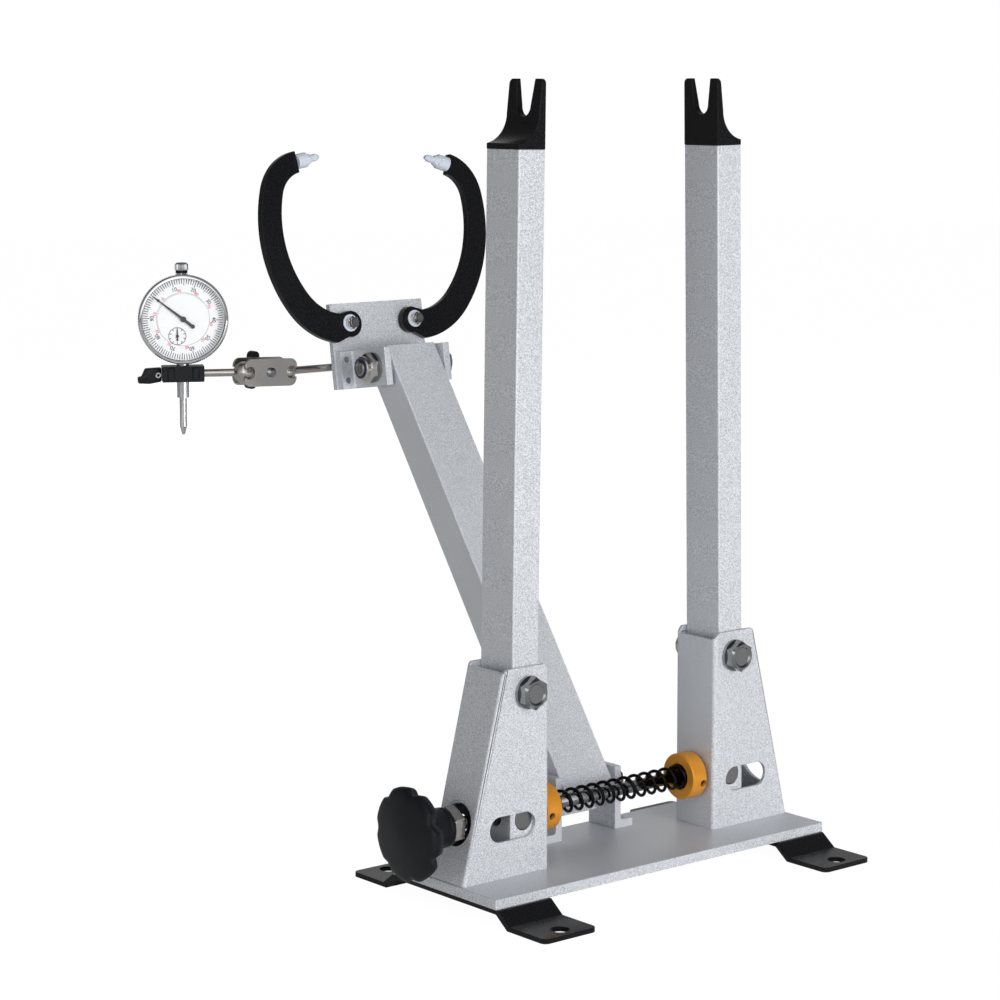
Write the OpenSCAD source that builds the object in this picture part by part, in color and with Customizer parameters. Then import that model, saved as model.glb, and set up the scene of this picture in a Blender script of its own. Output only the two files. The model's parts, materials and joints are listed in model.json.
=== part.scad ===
// Bicycle wheel truing stand: two hinged uprights spread by a left and right hand screw,
// a leaning caliper arm with two rim fingers, and a dial gauge on a swivel.
// X runs along the base, Y runs to the rear, Z up. The origin is on the bench, midway
// between the four bench holes.

/* [Base] */
// Length of the base plate
base_len = 269; // [250:1:300]
// Width of the base plate, front to rear
base_w = 97; // [90:1:120]
// Thickness of the base plate
base_t = 6; // [4:0.5:8]
// Width of each foot strap
strap_w = 40; // [34:1:44]
// Thickness of a foot strap
strap_t = 3; // [2:0.5:4]
// Height the strap drops in its joggle
strap_drop = 7.5; // [5:0.5:12]
// Length of the joggle, measured level
strap_bend = 10; // [8:1:16]
// Length of the flat foot beyond the joggle
strap_pad = 32; // [28:1:50]
// Distance of a strap from the end of the plate
strap_inset = 1; // [0.5:0.5:6]
// Bench hole in a foot
bench_hole_d = 11; // [8:0.5:12]
// Distance of a bench hole from the tip of the foot
bench_hole_inset = 10; // [9:0.5:13]

/* [Towers] */
// Outer face of the upright inner wall, from the middle of the base
tower_x = 67.8; // [62:0.2:70]
// Width of a tower at its foot
tower_foot = 65.7; // [60:0.5:66]
// Width of a tower at its top
tower_head = 34.7; // [32:0.5:44]
// Height of a tower above the plate
tower_h = 125; // [115:1:140]
// Sheet thickness of a tower
sheet_t = 2.5; // [2:0.1:3]
// Outside radius of the sheet bends
bend_r = 3; // [2.6:0.1:4]
// Height of the corner relief at the top of the inner wall
relief = 4; // [3:0.5:6]
// Height the sloped wall stops below the side walls
slope_drop = 2; // [1:0.5:4]
// Hole in the sloped wall round the screw
wall_hole_d = 28; // [20:1:30]
// Length of the window over a barrel nut
window_len = 34.8; // [30:0.2:36]
// Height of the window
window_h = 15.2; // [12:0.2:17]
// Height of the middle of the window below the screw
window_low = 3; // [1:0.5:4]

/* [Uprights] */
// Width of an upright tube along the base
tube_w = 20; // [18:0.5:22]
// Depth of an upright tube, front to rear
tube_d = 30; // [26:0.5:34]
// Wall of an upright tube
tube_wall = 1.5; // [1.2:0.1:2]
// Outside corner radius of the tubes
tube_r = 1.2; // [0.8:0.1:1.6]
// Gap from the tower's inner wall to the tube
tube_gap = 4; // [3.5:0.1:5]
// Inward lean of the uprights at rest, in degrees
rest_lean = 0.9; // [0:0.1:1.2]
// Height of the pivot above the base plate
pivot_up = 109.7; // [105:0.1:112]
// Length of an upright above its pivot
tube_up = 318.5; // [250:0.5:340]
// Length of an upright below its pivot
tube_down = 98; // [88:1:100]

/* [Dropouts] */
// Thickness of the dropout plate
drop_t = 4; // [3:0.5:6]
// Height of the dropout above the tube
drop_h = 41; // [36:0.5:50]
// Thickness of the dropout foot on the tube
drop_foot = 3.2; // [2.5:0.1:4]
// Width of the axle seat
axle_d = 12; // [9:0.5:14]
// Height of the axle seat centre above the tube
axle_up = 25; // [23:0.5:30]
// Width of the slot at its mouth
mouth_w = 16.5; // [15:0.5:19]
// Radius of the concave root of the dropout
root_r = 18; // [12:0.5:20]

/* [Spreader] */
// Height of the screw above the base plate
screw_up = 33.1; // [30:0.1:36]
// Diameter of the screw
screw_d = 8; // [6:0.5:8]
// Diameter of a barrel nut
barrel_d = 13; // [11:0.5:13.5]
// Diameter of a spring collar
collar_d = 29; // [24:0.5:32]
// Thickness of a spring collar
collar_t = 11.5; // [9:0.5:14]
// Depth of the spring's seat in the right collar
seat_depth = 5; // [3:0.5:7]
// Thickness of a thrust washer
thrust_t = 2; // [1:0.5:3]
// Outside diameter of the spring
spring_d = 15.2; // [14:0.2:17]
// Wire diameter of the spring
wire_d = 1.8; // [1.4:0.1:2]
// Open turns of the spring
open_turns = 12; // [8:1:16]
// Closed turns at each end of the spring
end_turns = 1.5; // [1:0.5:2]

/* [Knob] */
// Diameter over the lobes of the knob
knob_d = 56; // [46:1:60]
// Thickness of the knob at its rim
knob_t = 9.5; // [8:0.5:14]
// Height of the domed face above the rim
knob_dome = 3.5; // [2:0.5:5]
// Diameter of the knob's hub
hub_d = 23.5; // [20:0.5:26]
// Length of the knob's hub
hub_len = 21; // [14:0.5:26]
// Number of lobes
lobes = 7; // [5:1:8]
// Depth of the scallops between the lobes
scallop_depth = 3.5; // [2:0.5:5]

/* [Caliper arm] */
// Width of the arm
arm_w = 40; // [36:1:44]
// Depth of the arm
arm_d = 25; // [22:0.5:28]
// Wall of the arm
arm_wall = 2; // [1.5:0.1:2.5]
// Lean of the arm from upright, in degrees
arm_lean = 34.35; // [30:0.05:38]
// Length from the arm's foot pivot to the head pivot
arm_reach = 305; // [260:1:330]
// Length of the arm past the head pivot
arm_end = 9; // [8:0.5:10]
// Height of the foot pivot above the base plate
arm_pivot_up = 28.5; // [27:0.5:31]
// Diameter of the arm's pivot bolts
arm_bolt_d = 10; // [8:0.5:10]

/* [Lugs] */
// Length of the lug's long leg
lug_leg = 40; // [38:0.5:44]
// Length of the lug's short leg
lug_foot = 15; // [13:0.5:18]
// Thickness of a lug
lug_t = 5; // [4:0.5:6]
// Width of a lug
lug_w = 25; // [22:0.5:27]
// Gap between the arm and a lug
lug_gap = 2; // [1.5:0.1:3]

/* [Caliper head] */
// Lean of the head from upright, in degrees
head_lean = 8.5; // [6:0.1:12]
// Width of the head plate
head_w = 77; // [76:0.5:90]
// Height of the head plate
head_h = 57; // [54:0.5:70]
// Thickness of the head plate
head_t = 4; // [3:0.5:5]
// Distance of a finger's pivot from the middle
finger_x = 27; // [24:0.5:30]
// Height of a finger's pivot above the head pivot
finger_up = 31; // [30:0.5:36]
// Thickness of a finger
finger_t = 5; // [3.5:0.5:6]
// Width of a finger at its pivot
finger_w = 19.5; // [16:0.5:20]
// Width of a finger at its tip
finger_tip_w = 14.4; // [12:0.2:16]
// Radius of the finger's heel, on its middle line
heel_r = 46.7; // [40:0.1:54]
// Radius of the finger's long bow
bow_r = 83.5; // [70:0.5:95]
// Radius of the finger's crook
crook_r = 26.7; // [22:0.1:32]
// Outward set of the right finger, in degrees
right_set = 6.5; // [0:0.5:8]

/* [Gauge arm] */
// Diameter of the two gauge rods
rod_d = 5; // [4:0.5:6]
// Distance from the middle of the head to the first ball
ball_x = 72.4; // [66:0.2:80]
// Diameter of the balls
ball_d = 14; // [12:0.5:15]
// Distance between the two balls
ball_gap = 33; // [30:0.5:38]
// Thickness of a swivel plate
swivel_t = 1.5; // [1.2:0.1:2]
// Height of a swivel plate
swivel_h = 18; // [16:0.5:22]
// Upward tilt of the swivel, in degrees
swivel_tilt = 2.5; // [0:0.5:5]
// Turn of the gauge towards the left, in degrees
gauge_turn = 29; // [20:1:35]
// Distance from the second ball to the gauge's stem
stem_reach = 39.4; // [36:0.2:50]

/* [Dial gauge] */
// Width of the bezel's rim outside the case
bezel_rim = 2.5; // [2:0.1:4]
// Depth of the bezel
bezel_t = 8; // [7:0.5:10]
// Diameter of the case behind the bezel
case_d = 53; // [48:0.5:53.5]
// Depth of the case behind the dial
case_t = 20; // [16:0.5:24]
// Diameter of the stem
stem_d = 8; // [7:0.5:9]
// Length of the stem below the case
stem_len = 24.8; // [22:0.2:30]
// Diameter of the plunger
plunger_d = 4.8; // [3.5:0.1:5]
// Length of the plunger shown below the stem
plunger_out = 15.7; // [14:0.1:20]
// Length of the contact point
point_len = 8.5; // [6:0.5:12]
// Travel of the plunger
plunger_travel = 10; // [5:1:10]

/* [Hidden] */

// Clearances and finishing sizes
overrun = 1;
slip = 0.05;
seat_gap = 0.2;
bolt_slip = 0.1;
bolt_d = 10;
hex_af = 17;
hex_h = 6.4;
nut_h = 8.4;
nut_collar_share = 0.3;
washer_d = 20;
washer_t = 2;
thread_past = 3;
chamfer = 0.8;
round_fn = 64;
ball_steps = 14;
hull_fn = 32;

// Screws that come up through the straps and the plate
strap_screw_d = 6;
strap_screw_head = 12;
strap_screw_share = 0.3;
small_screw_d = 4;
small_head_d = 7;
small_head_h = 2.6;
small_hole_inset = 5.6;
strap_corner = 4;

// Heights and stations that several pieces share
base_z = strap_t + strap_drop;
plate_top = base_z + base_t;
strap_x = base_len / 2 - strap_inset - strap_w / 2;
strap_tip = base_w / 2 + strap_bend + strap_pad;
strap_screw_y = base_w * strap_screw_share;
bench_y = strap_tip - bench_hole_inset;
flange_y = tube_d / 2 + seat_gap;
tower_y = flange_y + sheet_t;
slope_run = tower_foot - tower_head;
slope_angle = atan(slope_run / tower_h);
pivot_x = tower_x + sheet_t + tube_gap + tube_w / 2;
pivot_z = plate_top + pivot_up;
tube_top = pivot_z + tube_up;
tube_foot = pivot_z - tube_down;
screw_z = plate_top + screw_up;
axle_z = tube_top + axle_up;

// Barrel nut slot in the tube, opened downwards for the arc that the tube swings through
lever = pivot_z - screw_z;
tilt_max = 5.7 + rest_lean;
barrel_x = pivot_x + lever * tan(rest_lean);
barrel_drop = lever * (1 - cos(tilt_max)) + slip;
barrel_slip = 0.15;
barrel_len = tube_d - chamfer;
rod_hole_r = screw_d / 2 + barrel_drop + tube_w / 2 * sin(tilt_max) + barrel_slip;

// Spreader stations along the screw
collar_out = tower_x - thrust_t - seat_gap;
collar_in = collar_out - collar_t;
jam_af = 13;
jam_h = 6.5;
slope_x = tower_x + tower_foot - (screw_z - plate_top) * slope_run / tower_h;
hub_gap = 8;
dome_steps = 6;
hub_x = slope_x + hub_gap;
rim_x = hub_x + hub_len;
screw_right = pivot_x + tube_w;
thrust_d = 17;
grub_d = 4.5;
grub_len = 8;
grub_x = collar_in + (collar_t + seat_depth) / 2;
end_gap = 0.7;
spring_seat = 0.1;
spring_len = 2 * collar_in + seat_depth - 2 * spring_seat;
coil_r = (spring_d - wire_d) / 2;
end_pitch = wire_d + end_gap;
open_pitch = (spring_len - wire_d - 2 * end_turns * end_pitch) / open_turns;
seat_d = spring_d + 2 * chamfer;

// Caliper arm stations
arm_y = base_w / 2 - lug_w / 2;
arm_z = plate_top + arm_pivot_up;
head_y = arm_y + arm_reach * sin(arm_lean);
head_z = arm_z + arm_reach * cos(arm_lean);
lug_x = arm_w / 2 + lug_gap;
bush_d = 14;
lug_fillet = 2;
arm_toe = 13.5;

// Caliper head stations, in the head's own leaning frame: y to the rear, z up
lug_front = 13.7;
plate_y = lug_leg - lug_front;
plate_low = -lug_w / 2;
finger_y = plate_y - seat_gap;
finger_bolt_d = 5;
finger_washer_d = 9.5;
finger_washer_t = 1;
finger_nut_af = 8;
finger_nut_h = 5;
finger_head_h = 3.2;
root_x = 1.2;
root_drop = 0.6;
root_z = -root_drop;
eye_r = 8.8;
eye_angle = 85;
eye_end_angle = -105;
heel_out = 8.8;
heel_drop = 3;
heel_x = -heel_out;
heel_z = -heel_drop;
heel_angle = 170;
bow_angle = 126.8;
crook_angle = 73.1;
tip_angle = 9.7;
tip_d = 10;
tip_len = 12;
pin_d = 5;
pin_len = 7;
tip_shank_d = 4;
tip_shank_len = 8;
arc_steps = 20;

// Gauge rod, held in a split block on the rear of the head plate
block_w = 24;
block_h = 14;
block_t = 10;
block_screw_x = 8;
rod_up = 3;
rod_back = block_t / 2;
rod_y = head_y + (plate_y + head_t + rod_back) * cos(head_lean) + rod_up * sin(head_lean);
rod_z = head_z - (plate_y + head_t + rod_back) * sin(head_lean) + rod_up * cos(head_lean);

// Swivel: two plates squeezed on the balls
notch_d = 8;
notch_mouth = 6;
prong_len = 4;
swivel_r = 5;
swivel_screw_d = 4;
swivel_head_d = 6.5;
swivel_head_h = 2;
swivel_knob_d = 10;
swivel_knob_h = 9;
wing_span = 25;
wing_w = 6.5;
wing_t = 6;
wing_turn = 5;
plate_gap = sqrt(pow(ball_d / 2, 2) - pow(notch_d / 2, 2)) + seat_gap;
ball2_x = -ball_x - ball_gap * cos(swivel_tilt);
ball2_z = rod_z + ball_gap * sin(swivel_tilt);

// Stem holder and gauge, in the gauge's own turned frame: y to the rear
holder_len = 27;
holder_h = 10.2;
holder_d = 13;
holder_rib = 1;
holder_screw_d = 4;
holder_neck = 2.5;
paddle_len = 13;
paddle_w = 9.4;
paddle_t = 5;
gauge_clear = 4.2;
gauge_up = case_d / 2 + gauge_clear + holder_h / 2;
bezel_d = case_d + 2 * bezel_rim;
bezel_lap = 0.7;
face_out = 8;
face_y = -face_out;
face_t = 0.6;
crystal_t = 1.2;
scale_w = 9.6;
inner_dial_d = case_d - 2 * scale_w;
dial_gap = 0.3;
crystal_out = 12;
crystal_y = -crystal_out;
bezel_wall = 1.6;
bezel_lip = 1.2;
back_t = 1.5;
back_inset = 3.5;
back_d = case_d - 2 * back_inset;
cap_d = 8.3;
cap_h = 4.8;
cap_neck_h = 4.2;
cap_ring_h = 2;
cap_bore_d = 5.6;
arbor_d = 2;
arbor_in = 3.6;
pointer_t = 0.5;
pointer_clear = 2.5;
pointer_len = case_d / 2 - pointer_clear;
pointer_tail = 9.5;
pointer_root = 1.8;
pointer_end = 0.5;
pointer_hub = 3.8;
pointer_rise = 1;
pointer_turn = 52;
counter_out = 3.8;
counter_drop = 10.9;
counter_x = -counter_out;
counter_z = -counter_drop;
counter_r = 4.4;
counter_arbor_d = 1.4;
counter_hub = 2;
counter_rise = 0.4;
counter_t = 0.4;
tip_round_d = 2.4;
point_neck_share = 0.4;

light = [0.76, 0.78, 0.80];
dark = [0.09, 0.095, 0.10];
zinc = [0.62, 0.61, 0.58];
nickel = [0.66, 0.63, 0.58];
gold = [0.85, 0.55, 0.10];
nylon = [0.92, 0.93, 0.95];

module along_x() {
    rotate([0, 90, 0]) children();
}

module along_y() {
    rotate([-90, 0, 0]) children();
}

// A rod of diameter d and length l, centred, along z
module rod(d, l) {
    cylinder(d = d, h = l, center = true, $fn = round_fn);
}

// A flat rectangle with round corners, made from squares and true circles
module round_rect(w, h, r) {
    square([w - 2 * r, h], center = true);
    square([w, h - 2 * r], center = true);
    for (sx = [-1, 1], sy = [-1, 1]) {
        translate([sx * (w / 2 - r), sy * (h / 2 - r)]) circle(r = r, $fn = hull_fn);
    }
}

// A flat slot of length l over its round ends
module slot(l, h) {
    square([l - h, h], center = true);
    for (s = [-1, 1]) translate([s * (l - h) / 2, 0]) circle(d = h, $fn = round_fn);
}

// A rectangular tube along z, from z = 0
module tube(w, d, wall, l) {
    difference() {
        linear_extrude(l) round_rect(w, d, tube_r);
        translate([0, 0, -overrun])
            linear_extrude(l + 2 * overrun) square([w - 2 * wall, d - 2 * wall], center = true);
    }
}

// A hexagon with its corners turned off at one or both ends, along z from z = 0
module hexagon(af, h, both) {
    intersection() {
        cylinder(d = af / cos(30), h = h, $fn = 6);
        rotate_extrude($fn = round_fn) polygon([
            [0, 0],
            [both ? af / 2 : af, 0],
            [af / 2 + h / 4, both ? h / 4 : 0],
            [af / 2 + h / 4, h * 3 / 4],
            [af / 2, h],
            [0, h]]);
    }
}

// A hexagon bolt: head from z = 0 upwards, shank downwards
module hex_bolt(d, af, h, l) {
    hexagon(af, h, false);
    translate([0, 0, -l]) cylinder(d = d, h = l + h / 2, $fn = round_fn);
}

// A nut with a nylon collar, from z = 0, bored for a bolt of diameter d
module lock_nut(d, af, h) {
    difference() {
        union() {
            hexagon(af, h * (1 - nut_collar_share), true);
            cylinder(d = af * (1 - nut_collar_share / 4), h = h, $fn = round_fn);
        }
        translate([0, 0, -overrun]) cylinder(d = d, h = h + 2 * overrun, $fn = round_fn);
    }
}

module washer(od, id, t) {
    difference() {
        cylinder(d = od, h = t, $fn = round_fn);
        translate([0, 0, -overrun]) cylinder(d = id, h = t + 2 * overrun, $fn = round_fn);
    }
}

module both_sides() {
    children();
    mirror([1, 0, 0]) children();
}

module arm_frame() {
    translate([0, arm_y, arm_z]) rotate([-arm_lean, 0, 0]) children();
}

module head_frame() {
    translate([0, head_y, head_z]) rotate([-head_lean, 0, 0]) children();
}

module swivel_frame() {
    translate([-ball_x, rod_y, rod_z]) rotate([0, swivel_tilt, 0]) children();
}

// The turned frame of the gauge, its origin at the second ball
module holder_frame() {
    translate([ball2_x, rod_y, ball2_z]) rotate([0, 0, -gauge_turn]) children();
}

// The middle of the dial, on the stem's axis
module gauge_frame() {
    holder_frame() translate([-stem_reach, 0, gauge_up]) children();
}

// Base

module strap_screw_spots() {
    for (sx = [-1, 1], sy = [-1, 1]) translate([sx * strap_x, sy * strap_screw_y, 0]) children();
}

// The two tapped holes in the short leg of each clevis lug
module clevis_screw_spots() {
    for (sx = [-1, 1], sy = [-1, 1])
        translate([sx * (lug_x + lug_t + (lug_foot - lug_t) / 2),
                   arm_y + sy * (lug_w / 2 - small_hole_inset), 0]) children();
}

module base_plate() {
    color(light) difference() {
        translate([0, 0, base_z]) linear_extrude(base_t) round_rect(base_len, base_w, chamfer);
        strap_screw_spots() translate([0, 0, base_z + base_t / 2])
            rod(strap_screw_d + 2 * slip, base_t + 2 * overrun);
        clevis_screw_spots() translate([0, 0, base_z + base_t / 2])
            rod(small_screw_d + 2 * slip, base_t + 2 * overrun);
    }
}

// Half of the strap's side view, from the middle of the plate to the tip of the foot
module strap_profile() {
    edge = base_w / 2;
    low = edge + strap_bend;
    polygon([
        [0, strap_drop], [edge - strap_t / 2, strap_drop], [low - strap_t / 2, 0],
        [strap_tip, 0], [strap_tip, strap_t], [low + strap_t / 2, strap_t],
        [edge + strap_t / 2, base_z], [0, base_z]]);
}

module foot_strap() {
    difference() {
        intersection() {
            for (s = [0, 1]) mirror([0, s, 0])
                rotate([90, 0, 90]) translate([0, 0, -strap_w / 2])
                    linear_extrude(strap_w) strap_profile();
            linear_extrude(base_z + overrun) round_rect(strap_w, 2 * strap_tip, strap_corner);
        }
        for (s = [-1, 1]) {
            translate([0, s * bench_y, strap_t / 2]) rod(bench_hole_d, strap_t + 2 * overrun);
            translate([0, s * strap_screw_y, strap_drop - overrun])
                cylinder(d = strap_screw_d + 2 * slip, h = strap_t + 2 * overrun, $fn = round_fn);
            translate([0, s * strap_screw_y, strap_drop])
                cylinder(d1 = strap_screw_head + 2 * slip, d2 = strap_screw_d + 2 * slip,
                         h = strap_t, $fn = round_fn);
        }
    }
}

module foot_straps() {
    color(dark) for (s = [-1, 1]) translate([s * strap_x, 0, 0]) foot_strap();
}

module strap_screws() {
    color(zinc) strap_screw_spots() {
        translate([0, 0, strap_drop])
            cylinder(d1 = strap_screw_head, d2 = strap_screw_d, h = strap_t, $fn = round_fn);
        translate([0, 0, strap_drop + strap_t / 2])
            cylinder(d = strap_screw_d, h = base_t + strap_t / 2 - chamfer, $fn = round_fn);
    }
}

// Towers: one folded box of four walls, open at the top

// Side view of a tower, from its inner wall outwards, drawn in x and z
module tower_outline() {
    polygon([
        [0, 0], [tower_foot, 0],
        [tower_head + slope_run * bend_r / tower_h, tower_h - bend_r],
        [tower_head - bend_r, tower_h], [relief, tower_h], [0, tower_h - relief]]);
    intersection() {
        translate([tower_head - bend_r - slope_run * bend_r / tower_h / 2, tower_h - bend_r])
            circle(r = bend_r, $fn = hull_fn);
        polygon([[0, 0], [tower_foot, 0], [tower_head, tower_h], [0, tower_h]]);
    }
}

// Seen from the end, the tower's walls with round bends, reaching far past the outline
module bend_section(reach) {
    translate([reach / 2, 0]) round_rect(reach, 2 * tower_y, bend_r);
}

module tower() {
    reach = 2 * tower_foot;
    translate([tower_x, 0, plate_top]) difference() {
        intersection() {
            translate([0, tower_y, 0]) rotate([90, 0, 0])
                linear_extrude(2 * tower_y) tower_outline();
            linear_extrude(tower_h + overrun) bend_section(reach);
            translate([tower_foot, 0, 0]) rotate([0, -slope_angle, 0]) mirror([1, 0, 0])
                translate([0, 0, -tower_foot])
                    linear_extrude(tower_h + 2 * tower_foot) bend_section(reach);
        }
        translate([0, flange_y, 0]) rotate([90, 0, 0]) linear_extrude(2 * flange_y)
            polygon([
                [sheet_t, -overrun],
                [tower_foot - sheet_t / cos(slope_angle) + overrun * slope_run / tower_h, -overrun],
                [tower_head - sheet_t / cos(slope_angle) - overrun * slope_run / tower_h,
                 tower_h + overrun],
                [sheet_t, tower_h + overrun]]);
        translate([-overrun, -flange_y, tower_h - relief])
            cube([sheet_t + 2 * overrun, 2 * flange_y, relief + overrun]);
        translate([tower_head - 2 * sheet_t, -flange_y, tower_h - slope_drop])
            cube([tower_foot, 2 * flange_y, slope_drop + overrun]);
        translate([pivot_x - tower_x, 0, pivot_up])
            along_y() rod(bolt_d + 2 * bolt_slip, 2 * tower_y + 2 * overrun);
        translate([pivot_x - tower_x + window_len / 2 - barrel_d / 2 + chamfer, tower_y + overrun,
                   screw_up - window_low])
            rotate([90, 0, 0]) linear_extrude(2 * tower_y + 2 * overrun) slot(window_len, window_h);
        translate([0, 0, screw_up]) along_x() rod(screw_d + 2 * slip, 4 * sheet_t);
        translate([tower_foot, 0, screw_up]) along_x() rod(wall_hole_d, tower_foot);
    }
}

module right_tower() {
    color(light) tower();
}

module left_tower() {
    color(light) mirror([1, 0, 0]) tower();
}

module tower_bolts() {
    color(zinc) for (s = [-1, 1])
        translate([s * pivot_x, -tower_y - washer_t, pivot_z]) rotate([90, 0, 0])
            hex_bolt(bolt_d, hex_af, hex_h, 2 * tower_y + 2 * washer_t + nut_h + thread_past);
}

module tower_washers() {
    color(zinc) for (s = [-1, 1], e = [-1, 1])
        translate([s * pivot_x, e * (tower_y + washer_t / 2), pivot_z])
            rotate([90, 0, 0]) translate([0, 0, -washer_t / 2])
                washer(washer_d, bolt_d + 2 * slip, washer_t);
}

module tower_nuts() {
    color(zinc) for (s = [-1, 1])
        translate([s * pivot_x, tower_y + washer_t, pivot_z]) rotate([-90, 0, 0])
            lock_nut(bolt_d + slip, hex_af, nut_h);
}

module thrust_washers() {
    color(zinc) for (s = [-1, 1])
        translate([s * (tower_x - thrust_t / 2), 0, screw_z]) along_x()
            translate([0, 0, -thrust_t / 2]) washer(thrust_d, screw_d + 2 * slip, thrust_t);
}

// Lugs: lengths of angle bar, drawn with the short leg's outer face on z = 0 and the long
// leg's inner face on x = 0
module lug_outline() {
    square([lug_t, lug_leg]);
    square([lug_foot, lug_t]);
    difference() {
        translate([lug_t, lug_t]) square(lug_fillet);
        translate([lug_t + lug_fillet, lug_t + lug_fillet]) circle(r = lug_fillet, $fn = hull_fn);
    }
}

// bore_up is the height of the pivot above the short leg's outer face
module lug(bore_up) {
    difference() {
        translate([0, lug_w / 2, 0]) rotate([90, 0, 0]) linear_extrude(lug_w) lug_outline();
        translate([lug_t / 2, 0, bore_up])
            along_x() rod(arm_bolt_d + 2 * bolt_slip, lug_t + 2 * overrun);
        for (s = [-1, 1])
            translate([lug_t + (lug_foot - lug_t) / 2, s * (lug_w / 2 - small_hole_inset), lug_t / 2])
                rod(small_screw_d + 2 * slip, lug_t + 2 * overrun);
    }
}

module clevis_lugs() {
    color(light) both_sides() translate([lug_x, arm_y, plate_top]) lug(arm_pivot_up);
}

// A pan head screw: head below z = 0, shank upwards
module small_screw(l) {
    cylinder(d = small_screw_d, h = l, $fn = hull_fn);
    rotate_extrude($fn = hull_fn) polygon([
        [0, slip], [small_screw_d / 2, slip], [small_screw_d / 2, 0], [small_head_d / 2, 0],
        [small_head_d / 2, -small_head_h / 2], [small_head_d / 3, -small_head_h],
        [0, -small_head_h]]);
}

module clevis_screws() {
    color(zinc) clevis_screw_spots() translate([0, 0, base_z])
        small_screw(base_t + lug_t - chamfer);
}

// The cross bolt of either end of the arm, with its head at the right and its nut at the left
module cross_bolt(spacer) {
    color(zinc) translate([lug_x + lug_t, 0, 0]) along_x()
        hex_bolt(arm_bolt_d, hex_af, hex_h,
                 2 * (lug_x + lug_t) + spacer + nut_h + thread_past / 2);
}

module cross_nut(spacer) {
    color(zinc) translate([-lug_x - lug_t - spacer, 0, 0]) mirror([1, 0, 0]) along_x()
        lock_nut(arm_bolt_d + slip, hex_af, nut_h);
}

module arm_bolt() {
    translate([0, arm_y, arm_z]) cross_bolt(0);
}

module arm_nut() {
    translate([0, arm_y, arm_z]) cross_nut(0);
}

// Uprights

// An upright and its dropout lean inwards about their pivot
module lean_frame() {
    translate([pivot_x, 0, pivot_z]) rotate([0, -rest_lean, 0])
        translate([-pivot_x, 0, -pivot_z]) children();
}

module upright() {
    lean_frame() difference() {
        translate([pivot_x, 0, tube_foot]) tube(tube_w, tube_d, tube_wall, tube_top - tube_foot);
        translate([pivot_x, 0, pivot_z]) along_y() rod(bolt_d + 2 * slip, tube_d + 2 * overrun);
        for (dz = [0, -barrel_drop])
            translate([pivot_x, 0, screw_z + dz])
                along_y() rod(barrel_d + 2 * barrel_slip, tube_d + 2 * overrun);
        translate([pivot_x, 0, screw_z - barrel_drop / 2])
            along_x() rod(2 * rod_hole_r, tube_w + 2 * overrun);
    }
}

// Side view of the dropout across the tube, inner face on x = 0, drawn in x and z
module dropout_outline() {
    flare_x = drop_t + drop_t / 4;
    difference() {
        union() {
            polygon([
                [0, 0], [flare_x + root_r, 0], [flare_x + root_r, drop_foot],
                [flare_x, drop_foot + root_r], [drop_t * 3 / 4, drop_h], [0, drop_h]]);
            square([tube_w, drop_foot]);
        }
        translate([flare_x + root_r, drop_foot + root_r]) circle(r = root_r, $fn = round_fn);
    }
}

// Front view of the dropout plate: round prongs either side of a tapering slot
module prong_view() {
    half = tube_d / 2;
    mouth = mouth_w / 2;
    difference() {
        union() {
            translate([-half, 0]) square([tube_d, drop_h - bend_r]);
            translate([-half + bend_r, 0]) square([tube_d - 2 * bend_r, drop_h]);
            for (s = [-1, 1])
                translate([s * (half - bend_r), drop_h - bend_r]) circle(r = bend_r, $fn = hull_fn);
        }
        translate([0, axle_up]) circle(d = axle_d, $fn = round_fn);
        polygon([
            [-axle_d / 2, axle_up], [axle_d / 2, axle_up],
            [mouth, drop_h + overrun], [-mouth, drop_h + overrun]]);
    }
}

module dropout() {
    plug_l = tube_w;
    plug_gap = 0.3;
    lean_frame() translate([pivot_x - tube_w / 2, 0, tube_top]) intersection() {
        translate([0, tube_d / 2, 0]) rotate([90, 0, 0]) linear_extrude(tube_d) dropout_outline();
        rotate([90, 0, 90]) linear_extrude(tube_w) prong_view();
    }
    lean_frame() translate([pivot_x, 0, tube_top - plug_l]) linear_extrude(plug_l)
        square([tube_w - 2 * tube_wall - 2 * plug_gap, tube_d - 2 * tube_wall - 2 * plug_gap],
               center = true);
}

module right_upright() {
    color(light) upright();
}

module left_upright() {
    color(light) mirror([1, 0, 0]) upright();
}

module right_dropout() {
    color(dark) dropout();
}

module left_dropout() {
    color(dark) mirror([1, 0, 0]) dropout();
}

// Spreader

module barrel_nut() {
    translate([barrel_x, 0, screw_z]) difference() {
        along_y() rod(barrel_d, barrel_len);
        along_x() rod(screw_d + 2 * slip, barrel_d + 2 * overrun);
    }
}

module right_barrel_nut() {
    color(zinc) barrel_nut();
}

module left_barrel_nut() {
    color(zinc) mirror([1, 0, 0]) barrel_nut();
}

module spreader_screw() {
    left = -rim_x;
    color(zinc) translate([left, 0, screw_z]) along_x() rotate_extrude($fn = round_fn) polygon([
        [0, 0], [screw_d / 2 - chamfer, 0], [screw_d / 2, chamfer],
        [screw_d / 2, screw_right - left - chamfer], [screw_d / 2 - chamfer, screw_right - left],
        [0, screw_right - left]]);
}

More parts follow.
